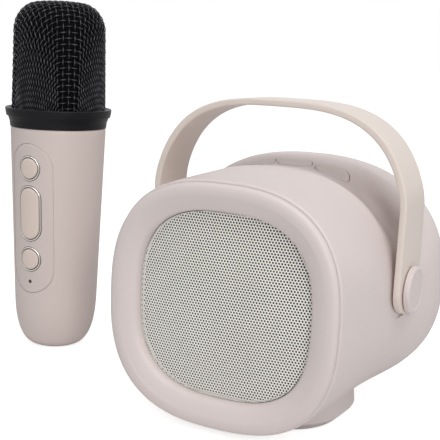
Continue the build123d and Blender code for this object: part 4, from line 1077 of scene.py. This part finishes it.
def head_outline(inset):
    """(radius, height) points of the mesh head from the crown's centre down to the collar."""
    top = mesh_top - inset
    radius = np.linspace(0, mesh_flat, 12)[:-1]
    crown = np.stack([radius, top - mesh_dome * (radius / mesh_flat) ** 2], 1)
    bend = hermite((mesh_flat, top - mesh_dome),
                   (mesh_top_radius - inset, mesh_top - mesh_shoulder),
                   (1.0, -2 * mesh_dome / mesh_flat), (0.03, -1.0), 60, (1.36, 0.8))
    wall = np.linspace(bend[-1], (mesh_radius - inset, mesh_seat + 0.1), 41)[1:]
    return np.concatenate([crown, bend, wall])


def head_profile():
    """How far the wires reach down from the crown's centre, and their radius and height there."""
    points = head_outline(wire_radius + wire_wave)
    length = np.concatenate([[0], np.cumsum(np.hypot(*np.diff(points, axis=0).T))])
    radius_at, height_at = [lambda at, values=values: np.interp(at, length, values)
                            for values in points.T]
    return length[-1], radius_at, height_at


def foam_liner():
    """Foam cup that fills the mesh head from inside."""
    outside = head_outline(2 * (wire_radius + wire_wave) + 0.03)[::4]
    inside = [(r * 0.82, z - 3.0) for r, z in outside[::-1] if z - 3.0 > mesh_seat]
    foot = outside[-1]
    profile = [*outside[1:], (foot[0], mesh_seat + 0.1), (foot[0] - 3.0, mesh_seat + 0.1),
               *inside[:-1]]
    make("mic_foam_cup", *ring_stack(profile, 64, False), black_foam, "microphone",
         ["mic_foam_liner"], "foam")


def crowding(turn, depth):
    """Share of the length down the wall that the crossing threads take, over a quarter turn.

    None is taken beside the straight lines; that part narrows with the depth down the wall."""
    low = straight_turn - straight_narrowing * np.clip(depth / narrowing_depth, 0, 1)
    high = low + crowding_ramp

    def climbed(angle):
        share = np.clip((angle - low) / (high - low), 0, 1)
        return (high - low) * (share ** 3 - share ** 4 / 2) + np.maximum(angle - high, 0)

    folded = np.minimum(turn, pi / 2 - turn)
    rise = climbed(folded) / climbed(pi / 4) / 2
    return np.where(turn < pi / 4, rise, 1 - rise)


def draw_down(x, y, radius_at):
    """Where a point of the flat woven sheet lies once it is drawn over the head.

    Threads keep their spacing where they run straight down the wall and crowd into narrow
    diamonds between. Returns the turn from the nearest straight line and the length down."""
    low, high = np.zeros_like(x), np.full_like(x, pi / 2)

    def down(turn):
        lean = np.sin(turn) + np.cos(turn) - 1
        at = x + y
        for _ in range(24):
            at = x + y - radius_at(at) * lean
        return at

    for _ in range(28):
        turn = (low + high) / 2
        at = down(turn)
        r = radius_at(at)
        beyond = r * np.sin(turn) + (at - r) * crowding(turn, at - r) > y
        low, high = np.where(beyond, low, turn), np.where(beyond, turn, high)
    return turn, down(turn)


def woven_head():
    """Plain weave drawn over a capped cylinder: one open polyline for each wire."""
    reach, radius_at, height_at = head_profile()
    quarter = wire_pitch / 4
    count = int(reach / wire_pitch)
    along = np.arange(-int(reach / quarter), int(reach / quarter) + 1)
    turn_cos, turn_sin = cos(weave_turn), sin(weave_turn)
    points, edges, crowns, start = [], [], [], 0
    for family, wire in [(f, w) for f in (0, 1) for w in range(-count, count + 1)]:
        place = np.stack([np.full(len(along), wire * wire_pitch), along * quarter])
        x, y = place if family == 0 else place[::-1]
        turn, at = draw_down(np.abs(x), np.abs(y), radius_at)
        inside = at <= reach
        if inside.sum() < 3:
            continue
        x, y, turn, at, row = x[inside], y[inside], turn[inside], at[inside], along[inside]
        ahead, behind = np.minimum(at + 0.4, reach), np.maximum(at - 0.4, 0.0)
        dr, dz = radius_at(ahead) - radius_at(behind), height_at(ahead) - height_at(behind)
        size = np.hypot(dr, dz)
        over = np.cos(pi * row / 4) * (-1) ** (wire + family)
        r = radius_at(at) - dz / size * over * wire_wave
        z = height_at(at) + dr / size * over * wire_wave
        crowns.append(0.5 + over / 2)
        way_x, way_y = np.cos(turn) * np.sign(x + 1e-9), np.sin(turn) * np.sign(y + 1e-9)
        points.append(np.stack([mic_x + r * (way_x * turn_cos - way_y * turn_sin),
                                mic_y + r * (way_x * turn_sin + way_y * turn_cos), z], 1))
        edges += [(start + i, start + i + 1) for i in range(len(row) - 1)]
        start += len(row)
    wires = raw_mesh("wires", np.concatenate(points), [], edges)
    # crown: 1 where a wire lies on top of the weave; the mesh lacquer paints its highlight there
    crown = wires.attributes.new("crown", "FLOAT", "POINT")
    crown.data.foreach_set("value", np.concatenate(crowns).astype(np.float32))
    settings = {"Wire radius": wire_radius * MM, "Sides": 5, "Material": mesh_lacquer}
    p = Pattern("wire_along_paths", settings)
    path = p.add("GeometryNodeMeshToCurve", {0: p.input("Geometry")})
    round_wire = p.add("GeometryNodeCurvePrimitiveCircle",
                       {"Resolution": p.input("Sides"), "Radius": p.input("Wire radius")})
    tube = p.add("GeometryNodeCurveToMesh",
                 {"Curve": path, "Profile Curve": round_wire, "Fill Caps": True})
    piece = run_pattern("mic_woven_mesh", p.finish(tube), wires, settings)
    dress(piece, mesh_lacquer, "microphone", ["mic_head_mesh"], "black_metal", 60.0)


# ---------------------------------------------------------------- what stays as the solids are
def carry_over():
    """Finishes of the nodes that keep their own mesh."""
    finishes = {
        housing_plastic: ["rear_cover"],
        foot_plastic: ["base_foot"],
        inner_plastic: ["driver_baffle", "battery_cradle", "port_panel", "mic_chassis",
                        "mic_capsule_holder"],
        frame_paint: ["driver_basket"],
        plain_steel: ["usb_c_socket", "mic_usb_socket", "tact_switches", "mic_tact_switches",
                      "handle_pins", "mic_battery", "mic_capsule", "card_slot"],
        black_screw: ["rear_cover_screws", "baffle_screws", "driver_screws",
                      "button_board_screws", "foot_screws", "main_board_screws"],
        foot_rubber: ["foot_pad"],
        surround_rubber: ["driver_surround"],
        cone_paper: ["driver_cone", "dust_cap"],
        spider_cloth: ["driver_spider"],
        board_lacquer: ["button_board", "main_board", "mic_board"],
        ferrite: ["driver_magnet"],
        coil_copper: ["voice_coil"],
        cell_wrap: ["battery_cell"],
        lamp_lens: ["mic_led_lens"],
        chip_epoxy: ["board_chips", "aux_socket"]}
    for material, names in finishes.items():
        for name in names:
            mesh = nodes[name].data
            mesh.materials.clear()
            mesh.materials.append(material)


hull_surface = main_shell()
bezel()
seam_shadow_ring()
grille()
strap()
pivot_caps()
top_buttons(hull_surface)
mic_shell()
mic_panel()
mic_keys()
mic_collar()
woven_head()
foam_liner()
carry_over()


# ---------------------------------------------------------------- studio
def studio():
    """White floor that keeps the shadow, a plain sky and three square lamps."""
    corners = np.array([(-1, -1, 0), (1, -1, 0), (1, 1, 0), (-1, 1, 0)]) * 6000.0
    floor = placed("floor", raw_mesh("floor", corners, [(0, 1, 2, 3)]))
    floor.location.z = -0.00005
    material = bpy.data.materials.new("studio_paper")
    material.use_nodes = True
    paper = Tree(material.node_tree)
    shader = paper.tree.nodes["Principled BSDF"]
    shader.inputs["Base Color"].default_value = (0.82, 0.82, 0.82, 1)
    shader.inputs["Roughness"].default_value = 0.9
    shader.inputs["Specular IOR Level"].default_value = 0.1
    seen = paper.rays("Camera")
    glow = paper.add("ShaderNodeEmission",
                     {"Color": (1, 1, 1, 1), "Strength": seen * floor_glow})
    both = paper.add("ShaderNodeAddShader", {0: Value(paper, shader.outputs[0]), 1: glow})
    paper.join(both, paper.tree.nodes["Material Output"].inputs["Surface"])
    floor.data.materials.append(material)

    world = bpy.data.worlds.new("studio")
    bpy.context.scene.world = world
    world.use_nodes = True
    sky = Tree(world.node_tree)
    white = sky.rays("Camera") + sky.rays("Glossy") + sky.rays("Transmission")
    level = white.math("MINIMUM", 1.0) * (1.0 - sky_level) + sky_level
    background = sky.tree.nodes["Background"]
    background.inputs["Color"].default_value = (1, 1, 1, 1)
    sky.join(level, background.inputs["Strength"])

    for name, azimuth, elevation, size, power in (
            ("key_softbox", 40, 20, 0.25, 2.4), ("high_softbox", 60, 60, 0.6, 3.6),
            ("top_softbox", 0, 75, 0.6, 2.2)):
        way = heading(radians(azimuth), radians(elevation))
        data = bpy.data.lights.new(name, "AREA")
        data.shape, data.size, data.energy = "SQUARE", size, power
        softbox = placed(name, data)
        softbox.location = Vector((-0.02, 0.0, 0.06)) + way * lamp_distance
        softbox.rotation_mode = "QUATERNION"
        softbox.rotation_quaternion = way.to_track_quat("Z", "Y")


def heading(azimuth, elevation):
    """Unit vector from the object; azimuth is turned from the front to the right."""
    return Vector((sin(azimuth) * cos(elevation), -cos(azimuth) * cos(elevation),
                   sin(elevation)))


def camera():
    """Camera that frames the pair; lengths in pixels of the square image."""
    azimuth, roll = radians(28.2), radians(2.5)
    focal, image = 1000.0, 440.0
    distance, aim_x, aim_y = 0.35696, 218.5, 308.8
    back = heading(azimuth, radians(10.2))
    level_right = Vector((cos(azimuth), sin(azimuth), 0))
    level_up = back.cross(level_right)
    right = level_right * cos(roll) + level_up * sin(roll)
    up = level_up * cos(roll) - level_right * sin(roll)
    aim = Vector((0, seam_y, axis_height)) * MM
    shift_right = (image / 2 - aim_x) / focal * distance
    shift_down = (image / 2 - aim_y) / focal * distance
    place = aim + back * distance + right * shift_right - up * shift_down
    data = bpy.data.cameras.new("camera")
    data.sensor_width = 36.0
    data.lens = focal / image * data.sensor_width
    data.clip_start, data.clip_end = 0.01, 20.0
    view = placed("camera", data)
    axes = Matrix((right, up, back)).transposed().to_4x4()
    view.matrix_world = Matrix.Translation(place) @ axes
    bpy.context.scene.camera = view


studio()
camera()
bpy.context.scene.view_settings.view_transform = "Standard"
